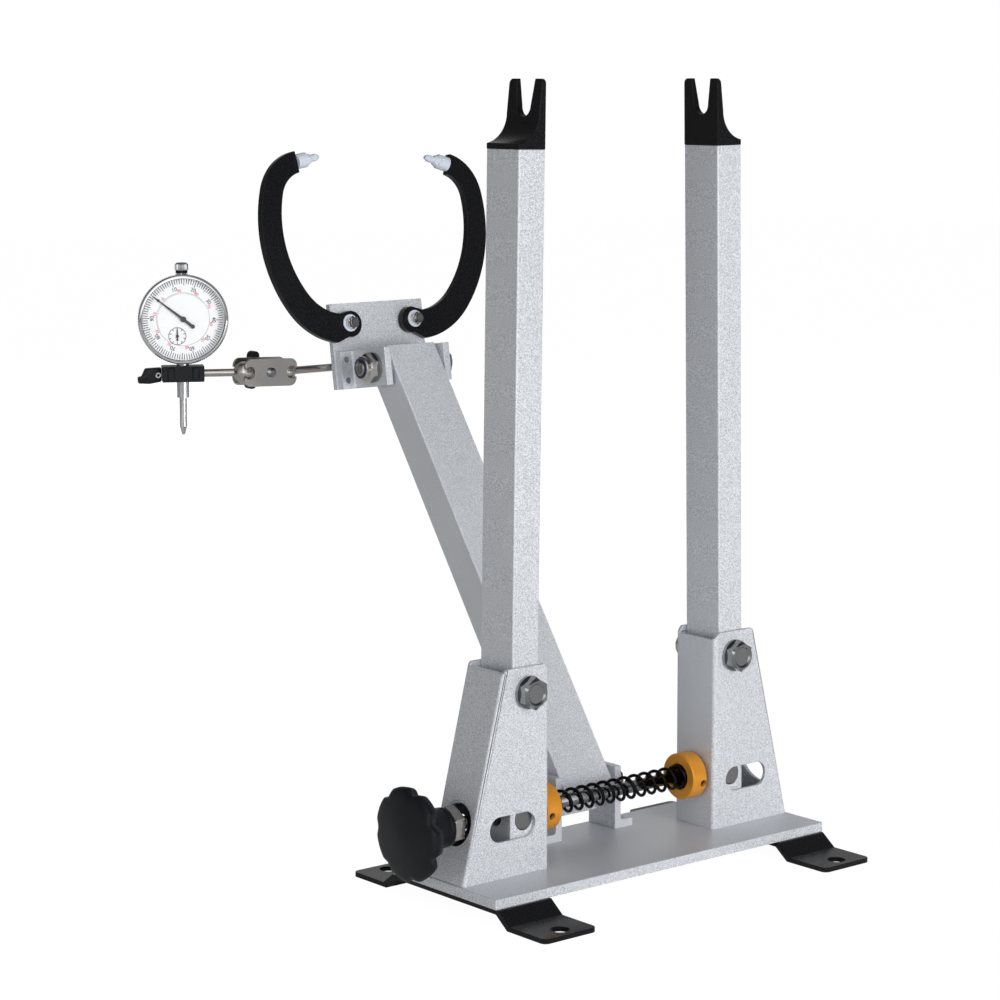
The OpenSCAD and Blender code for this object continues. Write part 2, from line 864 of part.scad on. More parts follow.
// The knob's section from its axis: a hub, a round rim and a domed face, with z along the
// axis and the rim's face on z = 0
module knob_section() {
    rim_r = knob_t / 2 - chamfer;
    flat_r = knob_d / 2 - rim_r;
    polygon([
        [0, -knob_t - hub_len], [hub_d / 2 - chamfer, -knob_t - hub_len],
        [hub_d / 2, -knob_t - hub_len + chamfer], [hub_d / 2, -knob_t],
        [flat_r, -knob_t],
        for (a = [-75:15:0]) [flat_r + rim_r * cos(a), -knob_t + rim_r + rim_r * sin(a)],
        for (a = [0:15:60]) [flat_r + rim_r * cos(a), -rim_r + rim_r * sin(a)],
        for (i = [dome_steps:-1:0]) let (r = flat_r * i / dome_steps)
            [r, sqrt(pow(dome_r(), 2) - pow(r, 2)) - dome_r() + knob_dome]]);
}

// Radius of the sphere whose cap has the dome's height over the rim's width
function dome_r() = (pow(knob_d / 2, 2) + pow(knob_dome, 2)) / (2 * knob_dome);

module knob() {
    half_chord = knob_d / 2 * sin(180 / lobes) * 2 / 3;
    scallop_r = (pow(half_chord, 2) + pow(scallop_depth, 2)) / (2 * scallop_depth);
    color(dark) translate([-rim_x - knob_t, 0, screw_z]) rotate([0, -90, 0]) difference() {
        rotate_extrude($fn = round_fn) knob_section();
        for (i = [0:lobes - 1]) rotate([0, 0, (i + 1 / 2) * 360 / lobes])
            translate([knob_d / 2 - scallop_depth + scallop_r, 0, -knob_t / 2])
                rod(2 * scallop_r, 3 * knob_t);
        translate([0, 0, -knob_t - hub_len / 2])
            rod(screw_d + 2 * slip, hub_len + 2 * overrun);
    }
}

module jam_nut() {
    color(zinc) translate([-hub_x, 0, screw_z]) along_x() difference() {
        hexagon(jam_af, jam_h, true);
        translate([0, 0, jam_h / 2]) rod(screw_d + 2 * slip, jam_h + 2 * overrun);
    }
}

// A collar of the right side: bored for the screw and tapped for its grub screw
module collar(seat) {
    difference() {
        translate([collar_in, 0, screw_z]) along_x() rotate_extrude($fn = round_fn) polygon([
            [0, 0], [collar_d / 2 - chamfer, 0], [collar_d / 2, chamfer],
            [collar_d / 2, collar_t - chamfer], [collar_d / 2 - chamfer, collar_t], [0, collar_t]]);
        translate([collar_in + collar_t / 2, 0, screw_z]) along_x()
            rod(screw_d + 2 * slip, collar_t + 2 * overrun);
        translate([grub_x, 0, screw_z]) grub_place() translate([0, 0, -overrun])
            cylinder(d = grub_d + 2 * slip, h = collar_d, $fn = hull_fn);
        if (seat) translate([collar_in - overrun, 0, screw_z]) along_x()
            cylinder(d = seat_d, h = seat_depth + overrun, $fn = round_fn);
    }
}

// The grub screw's hole starts clear of the screw and points forwards and a little down
module grub_place() {
    rotate([102, 0, 0]) translate([0, 0, screw_d / 2 + slip + overrun]) children();
}

module right_collar() {
    color(gold) collar(true);
}

module left_collar() {
    color(gold) mirror([1, 0, 0]) collar(false);
}

module grub_screws() {
    color(zinc) both_sides()
        translate([grub_x, 0, screw_z]) grub_place() difference() {
            translate([0, 0, -overrun]) cylinder(d = grub_d, h = grub_len + overrun, $fn = hull_fn);
            translate([0, 0, grub_len / 2]) cylinder(d = grub_d / 2, h = grub_len, $fn = 6);
        }
}

// Compression spring: one tube whose rings follow a helix with close turns at both ends.
// u counts turns from the left end.
ring_sides = 6;
turn_rings = 8;
spring_turns = open_turns + 2 * end_turns;

function climb(u) = u < end_turns ? u * end_pitch
    : u < end_turns + open_turns ? end_turns * end_pitch + (u - end_turns) * open_pitch
    : end_turns * end_pitch + open_turns * open_pitch + (u - end_turns - open_turns) * end_pitch;

function coil_point(u) = [climb(u), coil_r * cos(360 * u), coil_r * sin(360 * u)];

// A ring of the wire, square to a circle of the coil
function coil_ring(u) = [for (k = [0:ring_sides - 1])
    let (a = 360 * k / ring_sides, r = coil_r + wire_d / 2 * cos(a))
    [climb(u) + wire_d / 2 * sin(a), r * cos(360 * u), r * sin(360 * u)]];

rings = turn_rings * spring_turns;
spring_points = [for (i = [0:rings]) each coil_ring(i / turn_rings)];
spring_faces = [
    [for (k = [0:ring_sides - 1]) k],
    [for (k = [ring_sides - 1:-1:0]) rings * ring_sides + k],
    for (i = [0:rings - 1], k = [0:ring_sides - 1]) each
        let (a = i * ring_sides + k, b = i * ring_sides + (k + 1) % ring_sides)
        [[a, a + ring_sides, b], [b, a + ring_sides, b + ring_sides]]];
spring_gap = min([for (i = [0:rings - turn_rings], j = [turn_rings - 2:turn_rings + 2])
    if (i + j <= rings)
        norm(coil_point(i / turn_rings) - coil_point((i + j) / turn_rings))]) - wire_d;
echo(least_gap_between_turns = spring_gap);

module spring() {
    color(dark) translate([-collar_in + spring_seat + wire_d / 2, 0, screw_z])
        polyhedron(spring_points, spring_faces);
}

// Caliper arm

module caliper_arm() {
    color(light) arm_frame() difference() {
        translate([0, 0, -arm_toe])
            tube(arm_w, arm_d, arm_wall, arm_toe + arm_reach + arm_end);
        for (z = [0, arm_reach]) translate([0, 0, z]) along_x() rod(bush_d, arm_w + 2 * overrun);
    }
}

// A flanged bush in each side wall of the arm
module bushes() {
    color(nylon) both_sides() translate([arm_w / 2 - arm_wall, 0, 0]) along_x() difference() {
        union() {
            cylinder(d = bush_d, h = arm_wall + slip, $fn = round_fn);
            translate([0, 0, arm_wall]) cylinder(d = bush_d + lug_t, h = lug_gap - slip, $fn = round_fn);
        }
        rod(arm_bolt_d + 2 * slip, 4 * lug_t);
    }
}

module arm_bushes() {
    arm_frame() bushes();
}

module head_bushes() {
    arm_frame() translate([0, 0, arm_reach]) bushes();
}

// Caliper head, drawn in its leaning frame

module head_lug_place() {
    translate([lug_x, plate_y, 0]) rotate([90, 0, 0]) children();
}

module head_lugs() {
    color(light) head_frame() both_sides() head_lug_place() lug(lug_leg - lug_front);
}

module head_screw_spots() {
    for (sx = [-1, 1], sz = [-1, 1])
        translate([sx * (lug_x + lug_t + (lug_foot - lug_t) / 2), plate_y + head_t / 2,
                   sz * (lug_w / 2 - small_hole_inset)]) children();
}

module head_plate() {
    color(light) head_frame() difference() {
        translate([0, plate_y + head_t, plate_low + head_h / 2]) rotate([90, 0, 0])
            linear_extrude(head_t) round_rect(head_w, head_h, chamfer);
        head_screw_spots() along_y() rod(small_screw_d + 2 * slip, head_t + 2 * overrun);
        for (s = [-1, 1]) {
            translate([s * finger_x, plate_y + head_t / 2, finger_up])
                along_y() rod(finger_bolt_d + 2 * slip, head_t + 2 * overrun);
            translate([s * block_screw_x, plate_y + head_t / 2, rod_up - block_h / 4])
                along_y() rod(small_screw_d + 2 * slip, head_t + 2 * overrun);
        }
    }
}

module head_screws() {
    color(zinc) head_frame() {
        head_screw_spots() translate([0, head_t / 2, 0]) rotate([90, 0, 0])
            small_screw(head_t + lug_t - chamfer);
        for (s = [-1, 1]) translate([s * block_screw_x, plate_y, rod_up - block_h / 4])
            rotate([-90, 0, 0]) small_screw(head_t + block_t / 4);
    }
}

module head_bolt() {
    head_frame() cross_bolt(washer_t);
}

module head_washer() {
    color(zinc) head_frame() translate([-lug_x - lug_t, 0, 0]) mirror([1, 0, 0]) along_x()
        washer(washer_d, arm_bolt_d + 2 * slip, washer_t);
}

module head_nut() {
    head_frame() cross_nut(washer_t);
}

module finger_spots() {
    for (s = [-1, 1]) translate([s * finger_x, 0, finger_up]) children();
}

module finger_bolts() {
    stack = head_t + seat_gap + finger_t + seat_gap + finger_washer_t;
    color(zinc) head_frame() finger_spots() translate([0, plate_y + head_t, 0])
        rotate([-90, 0, 0])
            hex_bolt(finger_bolt_d, finger_nut_af, finger_head_h,
                     stack + finger_nut_h + finger_washer_t / 2);
}

module finger_washers() {
    color(nylon) head_frame() finger_spots()
        translate([0, finger_y - finger_t - seat_gap, 0]) rotate([90, 0, 0])
            washer(finger_washer_d, finger_bolt_d + 2 * slip, finger_washer_t);
}

module finger_nuts() {
    color(zinc) head_frame() finger_spots()
        translate([0, finger_y - finger_t - seat_gap - finger_washer_t, 0]) rotate([90, 0, 0])
            lock_nut(finger_bolt_d + slip, finger_nut_af, finger_nut_h);
}

// The finger's middle line leaves the pivot leftwards and turns up and back over three
// arcs: a heel, a long bow and a tighter crook. A heading is the angle of travel above the
// x axis. Drawn for the left finger, in x and z.
function out(heading) = [-sin(heading), cos(heading)];

heel_centre = [heel_x, heel_z] - heel_r * out(heel_angle);
bow_centre = heel_centre + (heel_r - bow_r) * out(bow_angle);
crook_centre = bow_centre + (bow_r - crook_r) * out(crook_angle);
arcs = [
    [heel_centre, heel_r, heel_angle, bow_angle],
    [bow_centre, bow_r, bow_angle, crook_angle],
    [crook_centre, crook_r, crook_angle, tip_angle]];
arc_lens = [for (arc = arcs) arc[1] * (arc[2] - arc[3])];
finger_len = arc_lens[0] + arc_lens[1] + arc_lens[2];
arc_starts = [0, arc_lens[0], arc_lens[0] + arc_lens[1]];

// Half width of the finger at a share s of its length
function half_w(s) = (finger_w + (finger_tip_w - finger_w) * s) / 2;

function finger_side(way) = [
    for (k = [0:len(arcs) - 1], i = [k == 0 ? 0 : 1:arc_steps])
        let (arc = arcs[k], t = i / arc_steps, heading = arc[2] + (arc[3] - arc[2]) * t)
        arc[0] + (arc[1] + way * half_w((arc_starts[k] + t * arc_lens[k]) / finger_len))
            * out(heading)];

// The round end of the finger, past its pivot
finger_eye = [for (i = [0:arc_steps]) let (a = eye_angle + (eye_end_angle - eye_angle) * i / arc_steps)
    [root_x + eye_r * cos(a), root_z + eye_r * sin(a)]];

function reversed(list) = [for (i = [len(list) - 1:-1:0]) list[i]];

module finger() {
    difference() {
        translate([0, finger_y, 0]) rotate([90, 0, 0]) linear_extrude(finger_t)
            polygon(concat(finger_side(1), reversed(finger_side(-1)), finger_eye));
        translate([0, finger_y - finger_t / 2, 0])
            along_y() rod(finger_bolt_d + 2 * slip, finger_t + 2 * overrun);
        tip_place() translate([0, 0, -tip_shank_len])
            cylinder(d = tip_shank_d + 2 * slip, h = tip_shank_len + overrun, $fn = hull_fn);
    }
}

// The end of the finger, with z along the finger
module tip_place() {
    at = crook_centre + crook_r * out(tip_angle);
    translate([at[0], finger_y - finger_t / 2, at[1]]) rotate([0, 90 - tip_angle, 0])
        children();
}

// A nylon rim feeler: a shank in the finger, a thick barrel and a round nosed pin
module finger_tip() {
    tip_place() {
        translate([0, 0, -tip_shank_len + chamfer])
            cylinder(d = tip_shank_d, h = tip_shank_len, $fn = hull_fn);
        translate([0, 0, slip]) rotate_extrude($fn = hull_fn) polygon([
            [0, 0], [tip_d / 2, 0], [tip_d / 2, tip_len * 2 / 3],
            [tip_d / 2 - chamfer, tip_len * 2 / 3 + chamfer],
            [pin_d / 2 + chamfer, tip_len - chamfer], [pin_d / 2, tip_len],
            [pin_d / 2, tip_len + pin_len - pin_d / 2], [pin_d / 4, tip_len + pin_len],
            [0, tip_len + pin_len]]);
    }
}

module left_finger_place() {
    head_frame() translate([-finger_x, 0, finger_up]) children();
}

module right_finger_place() {
    head_frame() translate([finger_x, 0, finger_up]) rotate([0, right_set, 0])
        mirror([1, 0, 0]) children();
}

module left_finger() {
    color(dark) left_finger_place() finger();
}

module right_finger() {
    color(dark) right_finger_place() finger();
}

module left_tip() {
    color(nylon) left_finger_place() finger_tip();
}

module right_tip() {
    color(nylon) right_finger_place() finger_tip();
}

// Gauge rod and its block

module rod_block() {
    color(zinc) head_frame() translate([0, plate_y + head_t, rod_up]) difference() {
        translate([-block_w / 2, 0, -block_h / 2]) cube([block_w, block_t, block_h]);
        translate([0, rod_back, 0]) along_x() rod(rod_d + 2 * slip, block_w + 2 * overrun);
        for (s = [-1, 1]) translate([s * block_screw_x, 0, -block_h / 4])
            along_y() rod(small_screw_d + 2 * slip, block_t / 2 + 2 * slip);
    }
}

// A rod of length l along z with a ball turned on its lower end, centred on the ball
module ball_rod(l) {
    start = asin(rod_d / ball_d);
    rotate_extrude($fn = round_fn) polygon(concat(
        [[0, l], [rod_d / 2, l]],
        [for (i = [0:ball_steps]) let (a = start + (180 - start) * i / ball_steps)
            [ball_d / 2 * sin(a), ball_d / 2 * cos(a)]]));
}

module gauge_rod() {
    color(nickel) translate([-ball_x, rod_y, rod_z]) along_x()
        ball_rod(ball_x + block_w / 2 + chamfer);
}

// Swivel plate seen from the front, from the first ball leftwards, with an open notch at
// each ball
module swivel_outline() {
    difference() {
        translate([-ball_gap / 2, 0]) round_rect(ball_gap + 2 * prong_len, swivel_h, swivel_r);
        for (x = [0, -ball_gap]) translate([x, 0]) circle(d = notch_d, $fn = hull_fn);
        translate([0, -notch_mouth / 2]) square([2 * prong_len, notch_mouth]);
        translate([-ball_gap - 2 * prong_len, -notch_mouth / 2]) square([2 * prong_len, notch_mouth]);
        translate([-ball_gap / 2, 0]) circle(d = swivel_screw_d + 2 * slip, $fn = hull_fn);
    }
}

module swivel_plates() {
    color(nickel) swivel_frame() {
        for (y = [-plate_gap, plate_gap + swivel_t])
            translate([0, y, 0]) rotate([90, 0, 0]) linear_extrude(swivel_t) swivel_outline();
    }
}

module swivel_screw() {
    color(zinc) swivel_frame() translate([-ball_gap / 2, -plate_gap - swivel_t, 0])
        rotate([90, 0, 0]) {
            rotate_extrude($fn = hull_fn) polygon([
                [0, 0], [swivel_head_d / 2, 0], [swivel_head_d / 2, swivel_head_h / 2],
                [swivel_head_d / 4, swivel_head_h], [0, swivel_head_h]]);
            translate([0, 0, -2 * plate_gap - 2 * swivel_t - swivel_knob_h / 2])
                cylinder(d = swivel_screw_d, h = 2 * plate_gap + 2 * swivel_t + swivel_knob_h / 2 + slip,
                         $fn = hull_fn);
        }
}

module swivel_knob() {
    color(dark) swivel_frame() translate([-ball_gap / 2, plate_gap + swivel_t, 0])
        rotate([-90, 0, 0]) difference() {
            union() {
                cylinder(d = swivel_knob_d, h = swivel_knob_h, $fn = hull_fn);
                translate([0, 0, swivel_knob_h / 2]) rotate([0, 0, 90 + wing_turn])
                    linear_extrude(wing_t) slot(wing_span, wing_w);
            }
            rod(swivel_screw_d + 2 * slip, swivel_knob_h + 2 * slip);
        }
}

// Stem holder, drawn from the second ball leftwards

module holder_rod() {
    color(nickel) holder_frame() rotate([0, -90, 0]) ball_rod(stem_reach - stem_d);
}

module stem_holder() {
    color(dark) holder_frame() translate([-stem_reach, 0, 0]) difference() {
        union() {
            translate([-holder_len / 2, -holder_d / 2, -holder_h / 2])
                cube([holder_len, holder_d, holder_h]);
            for (s = [-1, 1]) translate([s * stem_d, 0, 0])
                cube([stem_d / 2, holder_d + 2 * holder_rib, holder_h - 2 * holder_rib],
                     center = true);
        }
        rod(stem_d + 2 * slip, holder_h + 2 * overrun);
        translate([holder_len / 2 + stem_d / 2 - overrun, 0, 0])
            along_x() rod(rod_d + 2 * slip, holder_len);
        translate([-holder_len / 2, 0, 0])
            along_x() rod(holder_screw_d + 2 * slip, holder_len - stem_d);
    }
}

// A thumb screw with a flat paddle, in the left end of the holder
module holder_screw() {
    color(dark) holder_frame() translate([-stem_reach - holder_len / 2, 0, 0]) {
        translate([-holder_neck - paddle_len, -paddle_t / 2, -paddle_w / 2])
            cube([paddle_len, paddle_t, paddle_w]);
        translate([(holder_len / 2 - stem_d / 2 - holder_neck - paddle_len / 2 - slip) / 2, 0, 0])
            along_x() rod(holder_screw_d,
                          holder_len / 2 - stem_d / 2 + holder_neck + paddle_len / 2 - 2 * slip);
    }
}

// Dial gauge, drawn round the middle of its dial with y to the rear

module gauge_case() {
    front = face_y + face_t + seat_gap;
    back = front + case_t;
    bore_up = plunger_travel + gauge_up / 2;
    color(zinc) gauge_frame() difference() {
        union() {
            translate([0, (front + back) / 2, 0]) along_y() rod(case_d, back - front);
            translate([0, back, 0]) along_y() cylinder(d = back_d, h = back_t, $fn = round_fn);
            translate([0, 0, -case_d / 2 - stem_len])
                cylinder(d = stem_d, h = stem_len + case_d / 4, $fn = round_fn);
            translate([0, 0, case_d / 4])
                cylinder(d = stem_d, h = case_d / 4 + cap_neck_h - cap_ring_h, $fn = round_fn);
        }
        translate([0, 0, -case_d / 2 - stem_len - overrun])
            cylinder(d = plunger_d + 2 * slip, h = case_d + stem_len + 2 * cap_h, $fn = round_fn);
        translate([0, front + arbor_in / 2 - overrun / 2, 0])
            along_y() rod(arbor_d + 2 * slip, arbor_in + overrun);
        translate([counter_x, front + arbor_in / 2 - overrun / 2, counter_z])
            along_y() rod(counter_arbor_d + 2 * slip, arbor_in + overrun);
    }
}

module dust_cap() {
    top = case_d / 2 + cap_neck_h;
    color(zinc) gauge_frame() translate([0, 0, top - cap_ring_h]) difference() {
        union() {
            cylinder(d = cap_d - chamfer, h = cap_ring_h, $fn = hull_fn);
            translate([0, 0, cap_ring_h]) rotate_extrude($fn = hull_fn) polygon([
                [0, 0], [cap_d / 2, 0], [cap_d / 2, cap_h * 3 / 4], [cap_d / 4, cap_h], [0, cap_h]]);
        }
        translate([0, 0, -overrun])
            cylinder(d = cap_bore_d, h = cap_ring_h + cap_h / 2 + overrun, $fn = hull_fn);
    }
}

// The bezel's section from its axis: a wall, a lip over the crystal and a step for the dial
module bezel() {
    front = crystal_y - bezel_lip;
    rear = front + bezel_t;
    wall_in = case_d / 2 + slip;
    lip_in = case_d / 2 - bezel_lap;
    color(zinc) gauge_frame() along_y() rotate_extrude($fn = 2 * round_fn) polygon([
        [lip_in, front], [bezel_d / 2 - bezel_wall, front], [bezel_d / 2, front + bezel_wall],
        [bezel_d / 2, rear - chamfer], [bezel_d / 2 - chamfer, rear],
        [wall_in, rear], [wall_in, crystal_y], [lip_in, crystal_y]]);
}

module crystal() {
    color([0.9, 0.95, 0.95, 0.3]) gauge_frame() translate([0, crystal_y + crystal_t / 2, 0])
        along_y() rod(case_d, crystal_t);
}

// The outer scale turns with the bezel round the still middle of the dial
module scale_ring() {
    color([0.96, 0.96, 0.96]) gauge_frame() translate([0, face_y + face_t / 2, 0])
        along_y() difference() {
            rod(case_d, face_t);
            rod(inner_dial_d + 2 * dial_gap, face_t + 2 * overrun);
        }
}

module dial_face() {
    color([0.96, 0.96, 0.96]) gauge_frame() difference() {
        translate([0, face_y + face_t / 2 + seat_gap / 2, 0])
            along_y() rod(inner_dial_d, face_t + seat_gap);
        translate([0, face_y, 0]) along_y() rod(arbor_d + 2 * slip, 4 * face_t);
        translate([counter_x, face_y, counter_z])
            along_y() rod(counter_arbor_d + 2 * slip, 4 * face_t);
    }
}

// A hand drawn pointing up, with its hub, in x and z
module hand_outline(l, tail, root, end, hub) {
    polygon([[-root / 2, 0], [-end / 2, l], [end / 2, l], [root / 2, 0]]);
    polygon([[-root / 2, 0], [-root / 2, -tail + root], [0, -tail], [root / 2, -tail + root], [root / 2, 0]]);
    translate([0, -tail + root]) circle(d = root * 3 / 2, $fn = hull_fn);
    circle(d = hub, $fn = hull_fn);
}

module pointer() {
    color(dark) gauge_frame() {
        translate([0, face_y - pointer_rise, 0]) rotate([90, -pointer_turn, 0])
            linear_extrude(pointer_t)
                hand_outline(pointer_len, pointer_tail, pointer_root, pointer_end, pointer_hub);
        translate([0, face_y - pointer_rise - pointer_t, 0]) along_y()
            cylinder(d = arbor_d, h = pointer_rise + pointer_t + face_t + arbor_in - slip,
                     $fn = hull_fn);
    }
}

module counter_pointer() {
    color(dark) gauge_frame() translate([counter_x, 0, counter_z]) {
        translate([0, face_y - counter_rise, 0]) rotate([90, 0, 0]) linear_extrude(counter_t)
            hand_outline(counter_r, counter_r * 3 / 4, pointer_root / 2, pointer_end, counter_hub);
        translate([0, face_y - counter_rise - counter_t, 0]) along_y()
            cylinder(d = counter_arbor_d, h = counter_rise + counter_t + face_t + arbor_in - slip,
                     $fn = hull_fn);
    }
}

module plunger() {
    low = -case_d / 2 - stem_len - plunger_out;
    high = case_d / 2 - plunger_travel;
    color(zinc) gauge_frame() translate([0, 0, low])
        cylinder(d = plunger_d, h = high - low, $fn = round_fn);
}

module contact_point() {
    low = -case_d / 2 - stem_len - plunger_out;
    color(zinc) gauge_frame() translate([0, 0, low]) rotate_extrude($fn = hull_fn) polygon([
        [0, 0], [plunger_d / 2, 0], [plunger_d / 2, -point_len * point_neck_share],
        [plunger_d / 2 - chamfer / 2, -point_len * point_neck_share - chamfer],
        [tip_round_d / 2, -point_len + chamfer], [tip_round_d / 4, -point_len], [0, -point_len]]);
}

base_plate();
foot_straps();
strap_screws();
left_tower();
right_tower();
tower_bolts();
tower_washers();
tower_nuts();
thrust_washers();
clevis_lugs();
clevis_screws();
arm_bolt();
arm_nut();
left_upright();
left_dropout();
right_upright();
right_dropout();
left_barrel_nut();
right_barrel_nut();
spreader_screw();
knob();
jam_nut();
left_collar();
right_collar();
grub_screws();
spring();
caliper_arm();
arm_bushes();
head_bushes();
head_plate();
head_lugs();
head_screws();
head_bolt();
head_washer();
head_nut();
finger_bolts();
finger_washers();
finger_nuts();
rod_block();
gauge_rod();
left_finger();
left_tip();
right_finger();
right_tip();
swivel_plates();
swivel_screw();
swivel_knob();
holder_rod();
stem_holder();
holder_screw();
gauge_case();
dust_cap();
bezel();
crystal();
scale_ring();
dial_face();
pointer();
counter_pointer();
plunger();
contact_point();
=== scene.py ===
# %% [markdown]
# # A bicycle wheel truing stand
# The stand is a painted steel frame with bright screws, a black wound spring, a lobed knob
# and a dial gauge. Its solid parts come packed, so this lesson dresses them: each finish is
# made once from nodes, and the pieces that need more detail than a plain solid, such as the
# screw's thread or the dial's print, are worked out here as surfaces. Everything is in
# metres, but profiles are written in millimetres, as on a drawing, and MM turns them over.

# %% Load the solid parts
import json
import math

import bpy
import numpy as np
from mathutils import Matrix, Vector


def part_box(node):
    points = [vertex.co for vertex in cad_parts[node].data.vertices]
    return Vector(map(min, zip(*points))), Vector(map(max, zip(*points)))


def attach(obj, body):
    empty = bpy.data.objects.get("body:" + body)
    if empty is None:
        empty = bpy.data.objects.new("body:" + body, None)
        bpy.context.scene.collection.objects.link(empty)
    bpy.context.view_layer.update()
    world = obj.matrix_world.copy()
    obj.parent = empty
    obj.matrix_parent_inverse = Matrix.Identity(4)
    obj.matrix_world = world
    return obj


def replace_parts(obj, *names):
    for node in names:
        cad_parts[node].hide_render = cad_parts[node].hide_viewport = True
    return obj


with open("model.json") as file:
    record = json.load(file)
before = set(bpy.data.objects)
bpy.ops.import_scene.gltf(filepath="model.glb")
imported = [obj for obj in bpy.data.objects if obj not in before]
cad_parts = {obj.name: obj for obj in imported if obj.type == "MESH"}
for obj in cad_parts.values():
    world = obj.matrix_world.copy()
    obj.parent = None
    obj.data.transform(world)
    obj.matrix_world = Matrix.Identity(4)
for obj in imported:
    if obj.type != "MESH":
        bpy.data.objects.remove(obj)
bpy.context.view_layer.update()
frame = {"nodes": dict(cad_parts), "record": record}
nodes = frame["nodes"]
MM = 0.001

# %% [markdown]
# The camera stands to the left of the front, level with the tops of the uprights, and looks
# down a little. A short lens nearby would make the near upright look taller, so a long lens
# stands farther away and the two look almost the same size. Its place was found by fitting
# the stand's straight edges.

# %% Camera
PHOTO_SIDE = 1000
CAMERA_AT = (-1.1428, -1.2699, 0.4886)
CAMERA_TURN, CAMERA_PITCH = 39.6257, -6.5788
FOCAL_PIXELS = 2833.6

lens = bpy.data.cameras.new("camera")
lens.sensor_width = 36
lens.lens = FOCAL_PIXELS * lens.sensor_width / PHOTO_SIDE
lens.shift_y = -0.1
lens.clip_end = 20
camera = bpy.data.objects.new("camera", lens)
camera.location = CAMERA_AT
camera.rotation_euler = (math.radians(90 + CAMERA_PITCH), 0, math.radians(-CAMERA_TURN))
bpy.context.scene.collection.objects.link(camera)
bpy.context.scene.camera = camera
bpy.context.scene.view_settings.view_transform = "Standard"
print("lens", round(lens.lens, 1), "mm")

# %% [markdown]
# Nodes could be placed and wired one by one, but shader maths reads best as arithmetic. A
# Wire stands for one output socket, and adding or multiplying two of them, or a wire and a
# number, adds the Math node that does it. A Graph makes every other node with one method,
# from a type, its settings and its inputs.

# %% Wires and graphs
class Wire:
    """An output socket on which sums can be written."""

    def __init__(self, graph, socket):
        self.graph, self.socket = graph, socket

    def math(self, operation, *others, swap=False):
        """The operation on this wire and the others, in the other order with swap."""
        values = [self, *others]
        if swap:
            values.reverse()
        return self.graph.add("Math", {"operation": operation}, dict(enumerate(values)))

    def __add__(self, other):
        return self.math("ADD", other)

    def __radd__(self, other):
        return self.math("ADD", other, swap=True)

    def __sub__(self, other):
        return self.math("SUBTRACT", other)

    def __rsub__(self, other):
        return self.math("SUBTRACT", other, swap=True)

    def __mul__(self, other):
        return self.math("MULTIPLY", other)

    def __rmul__(self, other):
        return self.math("MULTIPLY", other, swap=True)

    def clamped(self):
        """The value, held between 0 and 1."""
        return self.graph.add("Clamp", {}, {"Value": self})


class Graph:
    """A node tree whose nodes are made by add()."""

    def __init__(self, tree):
        self.tree = tree

    def set(self, node, inputs):
        """Links wires to a node's inputs, and sets the others to numbers or colours."""
        for key, value in inputs.items():
            place = node.inputs[key]
            if isinstance(value, Wire):
                self.tree.links.new(value.socket, place)
            elif hasattr(value, "__len__") and len(place.default_value) > len(value):
                place.default_value = (*value, 1)
            else:
                place.default_value = value

    def add(self, kind, settings, inputs, output=0):
        """Adds a node of a kind, makes its settings first and then fills its inputs."""
        node = self.tree.nodes.new("ShaderNode" + kind)
        for key, value in settings.items():
            setattr(node, key, value)
        self.set(node, inputs)
        return Wire(self, node.outputs[output])


print("wires and graphs ready")

# %% [markdown]
# Most finishes of the stand need the same few things: noise in the piece's own space, a
# colour that changes with it, and a bump. They could be wired again for each material, but
# as methods of a Finish they are written once. A Finish is the graph of one material.

# %% Finishes
class Finish(Graph):
    """One material, with its Principled shader ready."""

    def __init__(self, name, fixed):
        self.material = bpy.data.materials.new(name)
        self.material.use_nodes = True
        super().__init__(self.material.node_tree)
        self.shader = self.tree.nodes["Principled BSDF"]
        self.set(self.shader, fixed)

    def place(self, stretch=(1, 1, 1)):
        """Object coordinates, in metres, stretched."""
        raw = self.add("TexCoord", {}, {}, "Object")
        return self.add("Mapping", {}, {"Vector": raw, "Scale": stretch})

    def grain(self, scale, detail=2, rough=0.5, at=None):
        """Noise between 0 and 1, its blobs about 1/scale metres wide."""
        return self.add("TexNoise", {}, {
            "Vector": at or self.place(), "Scale": scale, "Detail": detail,
            "Roughness": rough})

    def mix(self, factor, low, high):
        """The colour low where the factor is 0 and high where it is 1."""
        return self.add("Mix", {"data_type": "RGBA"}, {0: factor, 6: low, 7: high}, 2)

    def bump(self, height, strength, depth):
        """A normal that leans with the height's slope, for a relief this deep in metres."""
        return self.add("Bump", {}, {"Height": height, "Strength": strength, "Distance": depth})

    def wear(self, **sockets):
        """Feeds the shader's sockets, named with _ for a space, and gives the material."""
        self.set(self.shader, {key.replace("_", " "): value for key, value in sockets.items()})
        return self.material


print("finishes ready")

# %% [markdown]
# The frame is powder coated in a cool silver. Powder melts into a skin with a fine orange
# peel and tiny bright flakes. A picture of paint would have to be fitted to every piece, so
# noise in the object's own space is used instead: sharp noise sets the flakes, soft noise
# clouds the colour, and a low bump of both breaks the reflections up. The black coat is the
# same recipe with hardly any flake.

# %% Powder coats
FLAKES, CLOUDS, PEEL = 2300, 14, 620
FLAKE_FROM, FLAKE_GAIN, PEEL_DEPTH = 0.38, 4.6, 0.12 * MM


